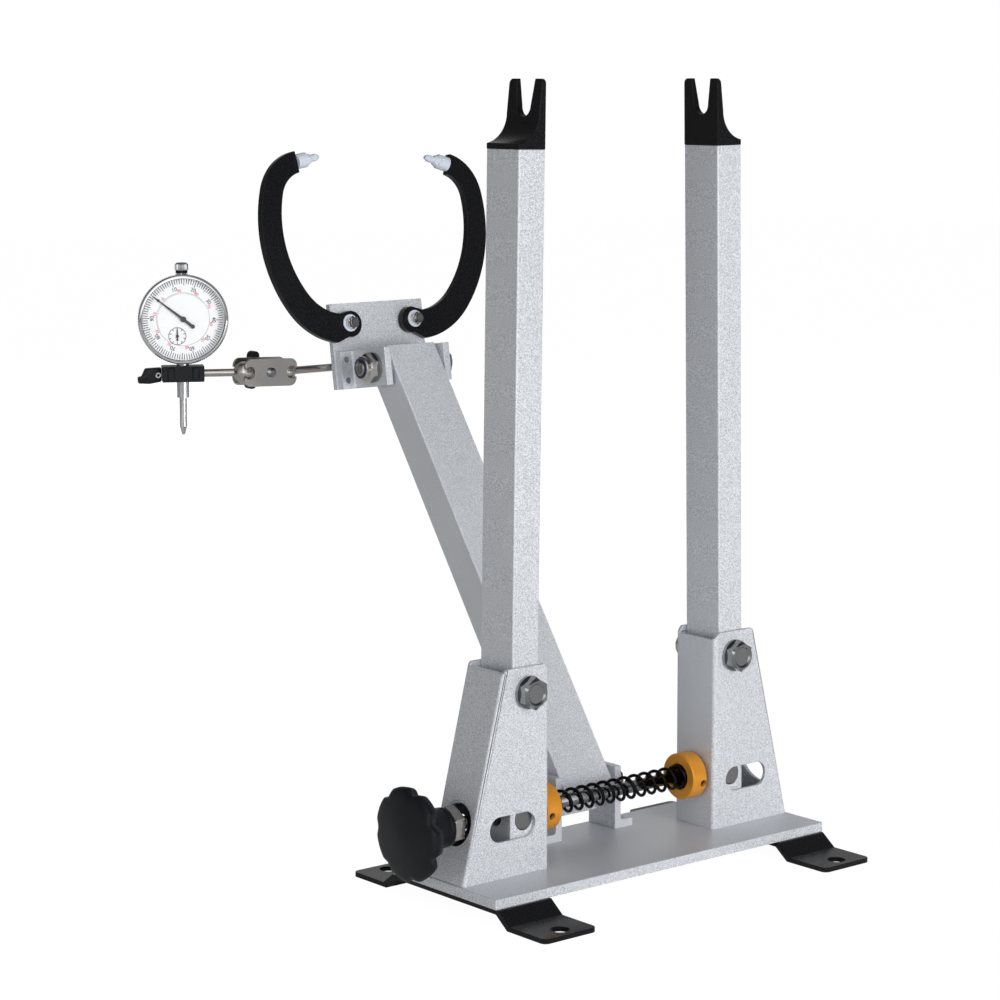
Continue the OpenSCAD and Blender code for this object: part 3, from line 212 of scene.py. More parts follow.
def powder_coat(name, colour, flake, rough, lumps, fixed):
    """Colour mixed towards a lighter flake colour by sharp noise, over a peel of soft noise.

    The amount of flake is 0.9 of the noise above its threshold, plus a little slow cloud.
    """
    paint = Finish(name, fixed)
    fleck = paint.grain(FLAKES, 1)
    cloud = paint.grain(CLOUDS)
    peel = paint.grain(PEEL)
    amount = ((fleck - FLAKE_FROM) * FLAKE_GAIN).clamped() * 0.9 + (cloud - 0.5) * 0.15
    return paint.wear(
        Base_Color=paint.mix(amount.clamped(), colour, flake),
        Roughness=rough + (fleck - 0.5) * 0.3,
        Normal=paint.bump(peel * 0.5 + fleck * 0.5, lumps, PEEL_DEPTH))


silver_paint = powder_coat("silver_paint", (0.41, 0.43, 0.465), (0.90, 0.925, 0.965), 0.40,
                           0.45, {"Metallic": 0.35})
black_paint = powder_coat("black_paint", (0.003, 0.003, 0.0035), (0.009, 0.0095, 0.011), 0.27,
                          0.15, {"Metallic": 0.0, "Specular IOR Level": 0.25})
print("powder coats made")

# %% [markdown]
# The large bolts are zinc plated and grey, and the small bolts and the lock nuts are
# brighter. The swivel and its rods are nickel plated, with a softer, warmer shine. The gauge
# is satin chrome with a ground plunger, and the collars are aluminium dyed gold. A bright
# metal shows mostly what it mirrors, so its colour is nearly even, with a faint stain. A
# picture of scratches would need a fit to each piece, so fine noise, on most of them drawn
# out into lines, moves the roughness and lifts a very low bump.

# %% Bright metals
def plated(name, colour, rough, stretch=(1, 1, 1), scratch=0.1, bare=1.0):
    """Metal whose roughness follows noise, which is finer along the stretched directions."""
    metal = Finish(name, {"Metallic": bare})
    drawn = metal.grain(900, 3, 0.6, metal.place(stretch=stretch))
    stain = metal.grain(60)
    return metal.wear(
        Base_Color=metal.mix((stain - 0.3).clamped() * 0.8, colour, [c * 0.78 for c in colour]),
        Roughness=rough + (drawn - 0.5) * (scratch * 2),
        Normal=metal.bump(drawn, 0.08, 0.00002))


zinc = plated("zinc_plate", (0.33, 0.34, 0.35), 0.16)
bright_zinc = plated("bright_zinc", (0.62, 0.60, 0.57), 0.15)
nickel = plated("nickel_plate", (0.56, 0.53, 0.50), 0.20, (1, 1, 4), 0.05)
chrome = plated("satin_chrome", (0.74, 0.75, 0.765), 0.10, (1, 1, 6), 0.03)
ground = plated("ground_steel", (0.70, 0.70, 0.71), 0.08, (1, 1, 8), 0.03)
gold = plated("gold_anodised", (0.80, 0.33, 0.035), 0.36, (1, 6, 6), bare=0.4)
black_oxide = plated("black_oxide", (0.022, 0.022, 0.024), 0.26, (1, 1, 1), 0.15)
print("metals made")

# %% [markdown]
# The knob, the holder and the wing knob are black moulded plastic with a spark eroded
# grain. The tips of the rim fingers, the small washers and the bushes are natural nylon, and
# the rings that grip in the lock nuts are blue nylon. All come from one recipe, because a
# mould leaves the same kind of pebbled skin on each: only the colour, the gloss and the size
# of the pebbles differ.

# %% Plastics
def moulded(name, colour, rough, pebble, depth, fixed):
    """Nearly even colour over pebbles of noise that lift the surface and vary the gloss."""
    plastic = Finish(name, fixed)
    pebbles = plastic.grain(pebble)
    shade = plastic.grain(25)
    return plastic.wear(
        Base_Color=plastic.mix(shade, colour, [c * 1.25 for c in colour]),
        Roughness=rough + (pebbles - 0.5) * 0.15,
        Normal=plastic.bump(pebbles, 0.3, depth))


black_plastic = moulded("black_plastic", (0.0042, 0.0054, 0.0075), 0.42, 1400, 0.00008,
                        {"Specular IOR Level": 0.3})
blue_nylon = moulded("blue_nylon", (0.02, 0.03, 0.09), 0.4, 500, 0.00003, {})
nylon = moulded("white_nylon", (0.50, 0.54, 0.61), 0.38, 500, 0.00003, {})
print("plastics made")

# %% [markdown]
# The dial is matt white enamel with black and red print, under a clear crystal. Real glass
# would bend the light and darken the dial, so the crystal is a thin, mostly transparent skin
# that still carries gloss.

# %% Dial finishes
def enamel(name, colour, rough):
    """Flat print: an even colour with a faint paper like mottle."""
    paint = Finish(name, {})
    mottle = paint.grain(300)
    return paint.wear(Base_Color=paint.mix(mottle, colour, [c * 0.93 for c in colour]),
                      Roughness=rough + (mottle - 0.5) * 0.1)


dial_white = enamel("dial_white", (0.93, 0.94, 0.96), 0.5)
print_black = enamel("print_black", (0.012, 0.012, 0.014), 0.45)
print_red = enamel("print_red", (0.75, 0.03, 0.07), 0.45)
# Painted shade: this grey is the shadow in the gap round the dial's still middle, not print.
painted_gap_shade = enamel("painted_gap_shade", (0.36, 0.37, 0.38), 0.5)
crystal_skin = Finish("clear_crystal", {"Alpha": 0.03, "Roughness": 0.06}).wear(
    Base_Color=(0.95, 0.97, 0.98))
print("dial finishes made")

# %% [markdown]
# Each solid part names the material that it is made of, and a table turns that name into a
# finish. The small bolts of the fingers are plated brighter than the large ones.

# %% Dress the solid parts
finish_of = {
    "silver_paint": silver_paint, "black_paint": black_paint, "zinc_steel": zinc,
    "nickel_steel": nickel, "gold_anodised": gold, "black_spring_steel": black_oxide,
    "black_plastic": black_plastic, "white_nylon": nylon, "satin_chrome": chrome,
    "steel_plunger": ground, "clear_crystal": crystal_skin, "dial_white": dial_white,
    "pointer_black": print_black}
for part in frame["record"]["subparts"]:
    node = nodes[part["node"]]
    node.data.materials.clear()
    fastener = part["node"] == "finger_bolts"
    node.data.materials.append(bright_zinc if fastener else finish_of[part["material_slot"]])

# %% [markdown]
# New pieces are grids of points. A grid has rows along one parameter and columns round the
# other, and it becomes a mesh of four sided faces whose columns close round. Modelling tools
# could draw the same shapes, but a formula keeps them exact and easy to change.

# %% Grids to meshes
def skin(name, grid, body, finish, loop=False):
    """Mesh from a grid of points with rows i and columns j.

    Face (i, j) joins points (i, j), (i+1, j), (i+1, j+1) and (i, j+1). Rows close round too
    when loop is true. If not, a cap fills the first and the last row.
    """
    rows, cols = grid.shape[:2]
    i, j = np.meshgrid(np.arange(rows if loop else rows - 1), np.arange(cols), indexing="ij")
    k, down = (j + 1) % cols, (i + 1) % rows
    faces = np.stack([i * cols + j, down * cols + j, down * cols + k, i * cols + k], -1)
    faces = faces.reshape(-1, 4).tolist()
    if not loop:
        first, last = list(range(cols)), list(range((rows - 1) * cols, rows * cols))
        faces += [first, last[::-1]]
    mesh = bpy.data.meshes.new(name)
    mesh.from_pydata(grid.reshape(-1, 3).tolist(), [], faces)
    return piece(name, mesh, body, finish)


def piece(name, mesh, body, finish, smooth=True):
    """Puts a mesh in the scene with its finish, riding on a body of the stand."""
    mesh.materials.append(finish)
    if smooth:
        mesh.shade_smooth()
    else:
        mesh.shade_flat()
    thing = bpy.data.objects.new(name, mesh)
    bpy.context.scene.collection.objects.link(thing)
    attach(thing, body)
    return thing


def outward(thing):
    """Turns a closed mesh right side out if its volume comes out negative.

    The volume is the sum, over the triangles, of a sixth of the first corner times the cross
    product of the other two. It is returned in cubic millimetres.
    """
    mesh = thing.data
    mesh.calc_loop_triangles()
    points = np.empty(len(mesh.vertices) * 3)
    mesh.vertices.foreach_get("co", points)
    corners = np.empty(len(mesh.loop_triangles) * 3, int)
    mesh.loop_triangles.foreach_get("vertices", corners)
    a, b, c = points.reshape(-1, 3)[corners.reshape(-1, 3)].transpose(1, 0, 2)
    volume = np.einsum("ij,ij->i", a, np.cross(b, c)).sum() / 6
    if volume < 0:
        mesh.flip_normals()
    return abs(volume) * 1e9


print("grids ready")

# %% [markdown]
# Real sheet and bar has no knife edges: its cut edges are eased and catch the light as thin
# bright lines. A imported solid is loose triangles, which a bevel can't follow, so each plain
# solid whose edges show gets a copy. Its doubles are merged, its flat faces are joined up
# again, and its sharp edges are rounded by a few tenths of a millimetre.

# %% Rounded edges
body_of = {part: body for body, parts in frame["record"]["behaviour"]["bodies"].items()
           for part in parts}
slot_of = {part["node"]: part["material_slot"] for part in frame["record"]["subparts"]}


def ease(mesh, width):
    """The mesh with its flat faces joined and its sharp edges rounded, by a width in mm."""
    source = bpy.data.objects.new("source", mesh)
    bpy.context.scene.collection.objects.link(source)
    steps = [("WELD", {"merge_threshold": 0.000002}),
             ("DECIMATE", {"decimate_type": "DISSOLVE", "angle_limit": math.radians(0.6)}),
             ("BEVEL", {"width": width * MM, "segments": 3, "limit_method": "ANGLE",
                        "angle_limit": math.radians(30), "use_clamp_overlap": False,
                        "miter_outer": "MITER_ARC"}),
             ("WEIGHTED_NORMAL", {"weight": 60, "keep_sharp": False})]
    mesh.shade_smooth()
    for kind, settings in steps:
        modifier = source.modifiers.new(kind.lower(), kind)
        for key, value in settings.items():
            setattr(modifier, key, value)
    final = source.evaluated_get(bpy.context.evaluated_depsgraph_get())
    result = bpy.data.meshes.new_from_object(final)
    bpy.data.objects.remove(source)
    result.materials.clear()
    return result


def rounded(name, width):
    """A copy of a solid with rounded edges, which then stands for the solid."""
    mesh = ease(nodes[name].data.copy(), width)
    thing = piece("eased_" + name, mesh, body_of[name], finish_of[slot_of[name]])
    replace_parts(thing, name)
    return thing


EASED = {
    "base_plate": 0.4, "left_tower": 0.4, "right_tower": 0.4, "left_upright": 0.3,
    "right_upright": 0.3, "caliper_arm": 0.4, "head_plate": 0.12, "head_lugs": 0.4,
    "clevis_lugs": 0.4, "foot_straps": 0.35, "left_dropout": 0.5, "right_dropout": 0.5,
    "left_finger": 0.5, "right_finger": 0.5, "swivel_plates": 0.25, "stem_holder": 0.45,
    "rod_block": 0.4, "swivel_knob": 0.5}
for name, width in EASED.items():
    copy = rounded(name, width)
    print(name, len(copy.data.polygons), "faces")

# %% [markdown]
# The spreader is the clever part of the stand. One screw has a right hand thread at one end
# and a left hand thread at the other, so turning the knob draws both barrel nuts outwards or
# inwards at once, and the uprights close or open about their pivots. A thread is a radius
# that rises and falls along the axis, shifted by one pitch each turn.

# %% Screw with two threads
screw_low, screw_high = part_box("spreader_screw")
SCREW_Z = (screw_low.z + screw_high.z) / 2
SCREW_R = (screw_high.z - screw_low.z) / 2
PITCH = 1.5 * MM
THREAD_DEPTH, THREAD_START, SHANK_SHARE, TIP_SHARE = 0.62, 56 * MM, 0.94, 0.88


def threaded(x, angle, hand):
    """Radius of a thread: its crest is flat, and its root is 0.53 of a pitch deeper.

    The phase is x over the pitch plus the angle in turns, left or right handed, and the
    depth follows a cosine that is clipped at the crest and at the root.
    """
    wave = np.cos(2 * np.pi * (x / PITCH - hand * angle / (2 * np.pi)))
    return SCREW_R - THREAD_DEPTH * PITCH * np.clip(0.42 - wave * 0.5, 0, 0.85)


def screw_grid(x0, x1, hand, steps=7, sides=28):
    """Rows along x, a few to a pitch, and columns round the axis at the screw's height."""
    x = np.linspace(x0, x1, int((x1 - x0) / PITCH * steps))[:, None]
    angle = np.linspace(0, 2 * np.pi, sides, endpoint=False)[None, :]
    r = threaded(x, angle, hand)
    r[:2] = r[-2:] = SCREW_R * TIP_SHARE
    return np.stack([x + 0 * r, r * np.cos(angle), r * np.sin(angle) + SCREW_Z], -1)


left_thread = skin("spreader_thread_left", screw_grid(screw_low.x, -THREAD_START, -1),
                   "screw", zinc)
right_thread = skin("spreader_thread_right", screw_grid(THREAD_START, screw_high.x, 1),
                    "screw", zinc)
ends = np.array([[-THREAD_START], [THREAD_START]])
angle = np.linspace(0, 2 * np.pi, 40, endpoint=False) + 0 * ends
shank_r = SCREW_R * SHANK_SHARE
plain = np.stack([ends + 0 * angle, shank_r * np.cos(angle),
                  shank_r * np.sin(angle) + SCREW_Z], -1)
shank = skin("spreader_shank", plain, "screw", zinc)
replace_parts(left_thread, "spreader_screw")
print("screw volumes", [round(outward(t)) for t in (left_thread, right_thread, shank)])

# %% [markdown]
# The spring is one wire on a helix. Its coils sit close for a turn and a half at each end,
# where it bears on the collars, and stand open between. A ready made helix has one climb for
# its whole length, so here the climb is a table over the turns, and a ring of the wire is
# carried along the helix, square to it.

# %% Compression spring
spring_low, spring_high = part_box("spring")
WIRE = 2.1 * MM
COIL_R = (spring_high.z - spring_low.z) / 2 - WIRE / 2
END_TURNS, OPEN_TURNS, END_PITCH = 1.5, 12, 2.5 * MM
run = spring_high.x - spring_low.x - WIRE
OPEN_PITCH = (run - 2 * END_TURNS * END_PITCH) / OPEN_TURNS


def spring_grid(rings=40, sides=12):
    """Rows of rings along the helix.

    The axis point climbs by the end pitch, then the open pitch, then the end pitch. A ring
    is the sum of the radial direction and the binormal of the helix, times the wire radius.
    """
    spring_turns = OPEN_TURNS + 2 * END_TURNS
    turns = np.linspace(0, spring_turns, int(rings * spring_turns))
    climb = np.interp(turns, [0, END_TURNS, END_TURNS + OPEN_TURNS, spring_turns],
                      [0, END_TURNS * END_PITCH, run - END_TURNS * END_PITCH, run])
    t = 2 * np.pi * turns
    centre = np.stack([climb + spring_low.x + WIRE / 2, COIL_R * np.cos(t),
                       COIL_R * np.sin(t)], -1)
    along = np.gradient(centre, axis=0)
    along /= np.linalg.norm(along, axis=1, keepdims=True)
    radial = np.stack([0 * t, np.cos(t), np.sin(t)], -1)
    side = np.cross(along, radial)
    a = np.linspace(0, 2 * np.pi, sides, endpoint=False)[None, :, None]
    ring = centre[:, None] + WIRE / 2 * (np.cos(a) * radial[:, None] + np.sin(a) * side[:, None])
    ring[..., 0] = np.clip(ring[..., 0], spring_low.x, spring_high.x)
    return ring + [0, 0, SCREW_Z]


spring = skin("wound_spring", spring_grid(), "screw", black_oxide)
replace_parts(spring, "spring")
print("spring volume", round(outward(spring)), "mm3, open pitch",
      round(OPEN_PITCH / MM, 2), "mm")

# %% [markdown]
# The knob is one moulding: a hub, seven broad lobes with shallow scallops between them, and
# a face that domes gently. Cutting scallops out of a disc would leave hard edges, so the
# radius itself depends on the angle, and the lobes fade into the round hub and the round
# face along the profile.

# %% Lobed knob
knob_low, knob_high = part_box("knob")
LOBES, SCALLOP, SIDES_PER_LOBE = 7, 4.6, 28
HUB_LENGTH, DOME, RIM = 21, 3.5, 28.2


def knob_grid(sides=LOBES * SIDES_PER_LOBE):
    """Rows along a profile from the hub's end to the middle of the face.

    Each profile point is a distance x and a radius, both in mm, and a share of lobe. The
    radius is less by the scallop's depth times that share, where the scallop is a round
    hollow in the angle.
    """
    hub = knob_high.x / MM
    back, front = hub - HUB_LENGTH, knob_low.x / MM + DOME
    profile = np.array([
        [hub, 4.5, 0], [hub, 10.8, 0], [hub - 0.5, 11.6, 0], [hub - 2.8, 11.9, 0],
        [hub - 3.4, 11.2, 0], [hub - 4.0, 11.2, 0], [hub - 4.6, 12.0, 0], [back + 3, 12.6, 0],
        [back + 1, 13.4, 0], [back, 16.0, 0], [back - 0.2, RIM - 7.0, 0.9],
        [back - 0.3, RIM - 3.6, 1], [back - 0.8, RIM - 2.2, 1], [back - 1.8, RIM - 1.4, 1],
        [back - 4.0, RIM - 0.6, 0.95], [front + 3.6, RIM - 0.1, 0.65],
        [front + 2.0, RIM - 0.3, 0.5], [front + 0.8, RIM - 1.2, 0.36], [front, RIM - 2.8, 0.22],
        [front - 0.6, RIM - 5.2, 0.08], [front - 1.2, RIM - 8.5, 0], [front - 2.2, RIM - 14.5, 0],
        [front - 2.8, RIM - 19.0, 0], [front - 3.3, RIM - 23.5, 0],
        [front - DOME, RIM - 27.0, 0]])
    x, radius, lobed = profile.T[:, :, None]
    turn = np.linspace(0, 2 * np.pi, sides, endpoint=False)[None, :]
    across = np.abs(((turn * LOBES / (2 * np.pi)) % 1) - 0.5) * 2
    hollow = np.clip((across - 0.5) / 0.5, 0, 1)
    r = radius - lobed * SCALLOP * (hollow ** 2 * (3 - 2 * hollow))
    return MM * np.stack([x + 0 * r, r * np.cos(turn), r * np.sin(turn)], -1) + [0, 0, SCREW_Z]


knob = skin("lobed_knob", knob_grid(), "screw", black_plastic)
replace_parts(knob, "knob")
print("knob volume", round(outward(knob)), "mm3")

# %% [markdown]
# The dial is a turning ring with a hundred marks round a still middle. Every tenth mark is
# longer and carries a number, and a smaller red number beside it counts the other way. A
# picture could show them, but it would blur close up, so the marks are thin plates that lie
# a hair in front of the enamel.

# %% Dial place and marks
face_low, face_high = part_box("scale_ring")
DIAL = np.array([(a + b) / 2 for a, b in zip(face_low, face_high)])
TURN = math.radians(29)
RIGHT = np.array([math.cos(TURN), -math.sin(TURN), 0])
REAR = np.array([math.sin(TURN), math.cos(TURN), 0])
UP = np.array([0, 0, 1.0])
FACE = -0.3 * MM
PRINT_LIFT = 0.06 * MM
SCALE_TURN = -52
MARKS, MARK_STEP = 100, 3.6
TENTH_FROM, FIFTH_FROM, MARK_FROM, MARK_TO, MARK_WIDTH = 21.4, 21.8, 22.7, 25.9, 0.42


def on_dial(x, z):
    """Point of the print: x along the dial's width, z up, a small lift before the face."""
    x, z = np.asarray(x, float), np.asarray(z, float)
    return DIAL + x[..., None] * RIGHT + z[..., None] * UP + (FACE - PRINT_LIFT) * REAR


def flat_quads(name, quads, body, finish):
    """One mesh from an array of quads, of shape (n, 4, 3)."""
    mesh = bpy.data.meshes.new(name)
    faces = np.arange(len(quads) * 4).reshape(-1, 4).tolist()
    mesh.from_pydata(quads.reshape(-1, 3).tolist(), [], faces)
    return piece(name, mesh, body, finish, smooth=False)


def ticks(degrees, inner, outer, width):
    """Quads of radial marks: two edges half a width either side of each direction."""
    a = np.radians(degrees)[:, None]
    along = np.stack([np.sin(a), np.cos(a)], -1)
    across = np.stack([np.cos(a), -np.sin(a)], -1)
    inner, outer = np.broadcast_to(inner, len(degrees)), np.broadcast_to(outer, len(degrees))
    radii = np.stack([inner, outer, outer, inner], -1)[..., None]
    sides = np.array([-1, -1, 1, 1])[None, :, None] * width / 2
    flat = along * radii + across * sides
    return on_dial(flat[..., 0] * MM, flat[..., 1] * MM)


every = np.arange(MARKS)
inner = np.where(every % 10 == 0, TENTH_FROM, np.where(every % 5 == 0, FIFTH_FROM, MARK_FROM))
marks = ticks(SCALE_TURN + every * MARK_STEP, inner, MARK_TO, MARK_WIDTH)
flat_quads("scale_marks", marks, "bezel_ring", print_black)
print(MARKS, "marks")

# %% [markdown]
# Numbers are drawn by a font. The text becomes a mesh before it gets its place, so that each
# number can lie on the dial at its own angle and the finished piece stays unturned.

# %% Numbers
def lettering(name, words, height, radius, degrees, finish):
    """Words as flat meshes, each centred at a radius and an angle and turned with it.

    A point (x, y) of a word goes to x along the tangent and y plus the radius outwards.
    """
    meshes = []
    for word, angle in zip(words, np.radians(degrees)):
        text = bpy.data.curves.new(name, "FONT")
        text.body, text.size, text.align_x, text.align_y = word, height, "CENTER", "CENTER"
        text.offset = 0.012 * height
        text.resolution_u = 3
        source = bpy.data.objects.new(name, text)
        bpy.context.scene.collection.objects.link(source)
        bpy.context.view_layer.update()
        mesh = bpy.data.meshes.new_from_object(source)
        bpy.data.objects.remove(source)
        flat = np.empty(len(mesh.vertices) * 3)
        mesh.vertices.foreach_get("co", flat)
        x, y, _ = flat.reshape(-1, 3).T
        y = y + radius
        faces = [list(face.vertices) for face in mesh.polygons]
        meshes.append((on_dial((x * np.cos(angle) + y * np.sin(angle)) * MM,
                               (y * np.cos(angle) - x * np.sin(angle)) * MM), faces))
    start = np.cumsum([0] + [len(points) for points, _ in meshes])
    points = np.concatenate([points for points, _ in meshes])
    faces = [[v + s for v in face] for (_, fs), s in zip(meshes, start) for face in fs]
    mesh = bpy.data.meshes.new(name)
    mesh.from_pydata(points.tolist(), [], faces)
    return piece(name, mesh, "bezel_ring", finish, smooth=False)


RED_TURN = 8.5
tens = np.arange(0, MARKS, 10)
places = SCALE_TURN + tens * MARK_STEP
lettering("scale_numbers", [str(n) for n in tens], height=3.5, radius=19.7, degrees=places,
          finish=print_black)
lettering("scale_numbers_red", [str((MARKS - n) % MARKS) for n in tens], height=2.7,
          radius=18.3, degrees=places + RED_TURN, finish=print_red)
print("numbers every ten marks")

# %% [markdown]
# The small dial counts whole turns of the pointer. It is a thin ring with ten ticks, made of
# rows of quads like the marks, so it prints as sharply. A grey arc of the same kind runs round
# the middle of the large one: it is painted shade, the shadow in the gap between the turning
# ring and the still middle, drawn only where that shade falls.

# %% Turn counter
COUNTER_X, COUNTER_Z = -3.8, -10.9


def dial_point(x, z, radius, angle):
    """Point at a radius and an angle, in radians from the top, about a place in mm."""
    return on_dial((x + radius * np.sin(angle)) * MM, (z + radius * np.cos(angle)) * MM)


def ring_quads(x, z, radius, width, sides, start, end):
    """Quads of a flat ring about a point of the dial, from one angle to another."""
    a = np.radians(np.linspace(start, end, sides + 1))
    low, high = radius - width / 2, radius + width / 2
    return np.stack([dial_point(x, z, low, a[:-1]), dial_point(x, z, high, a[:-1]),
                     dial_point(x, z, high, a[1:]), dial_point(x, z, low, a[1:])], 1)


a = np.radians(np.arange(10) * 36.0)[:, None]
reach = np.array([4.1, 5.2, 5.2, 4.1])[None, :]
side = np.array([-1, -1, 1, 1])[None, :] * 0.24
strokes = on_dial((COUNTER_X + reach * np.sin(a) + side * np.cos(a)) * MM,
                  (COUNTER_Z + reach * np.cos(a) - side * np.sin(a)) * MM)
ring = ring_quads(COUNTER_X, COUNTER_Z, radius=5.5, width=0.4, sides=72, start=0, end=360)
flat_quads("counter_marks", np.concatenate([ring, strokes]), "gauge",
           print_black)
# Painted shade: the grey arc stands for the shadow in the gap round the still middle.
arc = ring_quads(0, 0, radius=16.4, width=0.2, sides=60, start=-118, end=50)
flat_quads("gap_shade_arc", arc, "gauge", painted_gap_shade)
print("counter drawn")

# %% [markdown]
# Bezel, cap and nuts come off a lathe. A turned part is a profile of distances and radii
# carried round an axis. A knurl or the flats of a hexagon could be cut afterwards, but they
# only change the radius with the angle, so the same function makes them.

# %% Turned parts
SHARP_ANGLE = 28


def turned(name, profile, at, axis, body, finish, sides=96, teeth=0, tooth=0, flats=0,
           loop=False):
    """Profile rows are a distance along the axis, a radius and a share of knurl, in mm.

    The radius falls by the tooth's depth times that share between the teeth. With flats, it
    is no more than half of flats over the cosine of the angle from the nearest flat.
    """
    profile = np.array([list(row) + [0] * (3 - len(row)) for row in profile], float)
    x, radius, share = profile.T[:, :, None]
    angle = np.linspace(0, 2 * np.pi, sides, endpoint=False)[None, :]
    r = radius - share * tooth * (0.5 - 0.5 * np.cos(teeth * angle))
    if flats:
        off = (angle + np.pi / 6) % (np.pi / 3) - np.pi / 6
        r = np.minimum(r, flats / 2 / np.cos(off))
    axis = np.array(axis, float) / np.linalg.norm(axis)
    first = np.cross(axis, [0, 0, 1.0] if abs(axis[2]) < 0.9 else [0, 1.0, 0])
    first /= np.linalg.norm(first)
    second = np.cross(axis, first)
    points = np.array(at) + MM * (x[..., None] * axis + (r * np.cos(angle))[..., None] * first
                                  + (r * np.sin(angle))[..., None] * second)
    thing = skin(name, points, body, finish, loop=loop)
    outward(thing)
    thing.data.set_sharp_from_angle(angle=math.radians(SHARP_ANGLE))
    return thing


def on_gauge(x, y, z):
    """Point of the gauge: x along the dial, y to its rear and z up, from the dial's middle."""
    return DIAL + MM * (x * RIGHT + y * REAR + z * UP)


BEZEL = [(-4.31, 26.2), (-5.1, 26.3), (-5.5, 26.7), (-5.5, 27.5), (-5.2, 28.1), (-4.4, 28.5),
         (-4.1, 28.7), (-3.7, 28.99, 1), (1.5, 28.99, 1), (1.9, 28.7), (2.45, 28.1),
         (2.45, 26.58), (-4.29, 26.58)]
bezel = turned("knurled_bezel", BEZEL, DIAL, REAR, "bezel_ring", chrome,
               sides=480, teeth=120, tooth=0.35, loop=True)
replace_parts(bezel, "bezel")
cap = turned("knurled_cap", [(28.6, 3.1), (31.0, 3.1), (31.0, 4.15), (31.2, 4.35, 1),
                             (34.6, 4.35, 1), (35.0, 4.1, 0.3), (35.9, 3.1), (36.2, 1.5)],
             on_gauge(0, 7.7, 0), UP, "gauge", chrome, sides=168, teeth=24,
             tooth=0.5)
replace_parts(cap, "dust_cap")
turned("cap_ring", [(29.1, 3.15), (29.1, 3.6), (29.35, 3.85), (30.7, 3.85), (30.95, 3.6),
                    (30.95, 3.15)],
       on_gauge(0, 7.7, 0), UP, "gauge", black_plastic, 48, loop=True)
print("bezel and cap turned")

# %% [markdown]
# A nut or bolt could be placed by numbers, but those would have to follow every change of
# the stand. So its place and its length are read from the solid that it stands for: the
# middle of the solid's corners across an axis, and their lowest point along it.

# %% Where a solid sits
def corners(name):
    """A solid's corners as rows of x, y and z, in metres."""
    points = np.empty(len(nodes[name].data.vertices) * 3)
    nodes[name].data.vertices.foreach_get("co", points)
    return points.reshape(-1, 3)


def by_side(name, pair):
    """The corners of a pair as the left half and the right, or all of them as the left."""
    points = corners(name)
    if not pair:
        return {"left": points}
    return {"left": points[points[:, 0] < 0], "right": points[points[:, 0] > 0]}


def main_normal(name):
    """Direction in which the largest area of a solid's faces looks, to the front."""
    faces = nodes[name].data.polygons
    normals, areas = np.empty(len(faces) * 3), np.empty(len(faces))
    faces.foreach_get("normal", normals)
    faces.foreach_get("area", areas)
    normals = normals.reshape(-1, 3)
    keys = np.round(normals, 2)
    best = max({tuple(k) for k in keys}, key=lambda k: areas[(keys == k).all(1)].sum())
    normal = normals[(keys == best).all(1)].mean(0)
    normal /= np.linalg.norm(normal)
    return normal if normal[1] < 0 else -normal


def seat_of(points, axis):
    """Middle of a round thing's base on its axis, and its length, in metres."""
    axis = np.array(axis, float) / np.linalg.norm(axis)
    along = points @ axis
    across = points - along[:, None] * axis
    middle = (across.min(0) + across.max(0)) / 2
    return middle + axis * along.min(), along.max() - along.min()


front = main_normal("head_plate")
print("the head looks along", [round(c, 3) for c in front])

# %% [markdown]
# A bolt's head is a hexagon with chamfered corners, a round washer face and a dished top. It
# is one profile from the middle of the head to the chamfered end of the shank, so the whole
# bolt is a single closed skin.

# %% Bolts and washers
BOLT_FLATS, BOLT_HEAD, BOLT_R, END_CHAMFER = 17, 6.4, 5.0, 0.8


def corner_radius(flats):
    """Radius of a hexagon's corners: half its width across flats over the cosine of 30."""
    return flats / 2 / math.cos(math.pi / 6)


def hex_bolt(name, points, axis, body):
    """A bolt from the dished top of its head to its chamfered end."""
    at, length = seat_of(points, axis)
    n, head, flats, corner = length / MM, BOLT_HEAD, BOLT_FLATS, corner_radius(BOLT_FLATS)
    profile = [(head * 0.14, 0.2), (head * 0.14, flats * 0.33), (head * 0.02, flats * 0.38),
               (0, flats * 0.40), (0, flats * 0.46), (head * 0.2, corner),
               (head * 0.97, corner), (head, corner * 0.98), (head, BOLT_R),
               (n - END_CHAMFER, BOLT_R), (n, BOLT_R - END_CHAMFER), (n, 0.2)]
    turned(name, profile, at, axis, body, zinc, 120, flats=flats)


for name, axis in (("tower_bolts", (0, 1, 0)), ("arm_bolt", (-1, 0, 0)),
                   ("head_bolt", (-1, 0, 0))):
    for side, half in by_side(name, name == "tower_bolts").items():
        hex_bolt(f"{side}_{name}", half, axis, body_of[name])
    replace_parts(bpy.data.objects["left_" + name], name)

for side, half in by_side("finger_washers", True).items():
    at, height = seat_of(half, front)
    h = height / MM
    turned(side + "_finger_washer", [(0, 2.1), (0, 5.5), (h * 0.2, 5.7), (h * 0.8, 5.7),
                                     (h, 5.5), (h, 2.1)],
           at, front, "head", nylon, 64, loop=True)
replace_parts(bpy.data.objects["left_finger_washer"], "finger_washers")

knob_nut = [(0, 4.1), (0, 11.2), (0.5, 12.1), (6.4, 12.1), (7.0, 11.2), (7.0, 4.1)]
nut = turned("knob_nut", knob_nut, (knob_high.x, 0, SCREW_Z), (1, 0, 0), "screw",
             nickel, 120, flats=21, loop=True)
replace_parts(nut, "jam_nut")
print("bolts, washers and the knob's nut turned")

# %% [markdown]
# The screw goes through a large hole in the tower's sloping wall. Behind the hole sits a black
# disc, a dark sheet that stands for the shade inside the tower: it is painted shade, not a part
# of the stand. The wall's slope comes from the tower's own corners at its foot and its top. In
# the base plate, a plug in the plate's own paint closes the hole of each strap screw.

# %% Hole in the tower's wall, and the plate's plugs
NEAR, PLUG_SINK = 0.1 * MM, 0.02 * MM
PLUG_ROOM, PLUG_EDGE = 0.15, 0.08

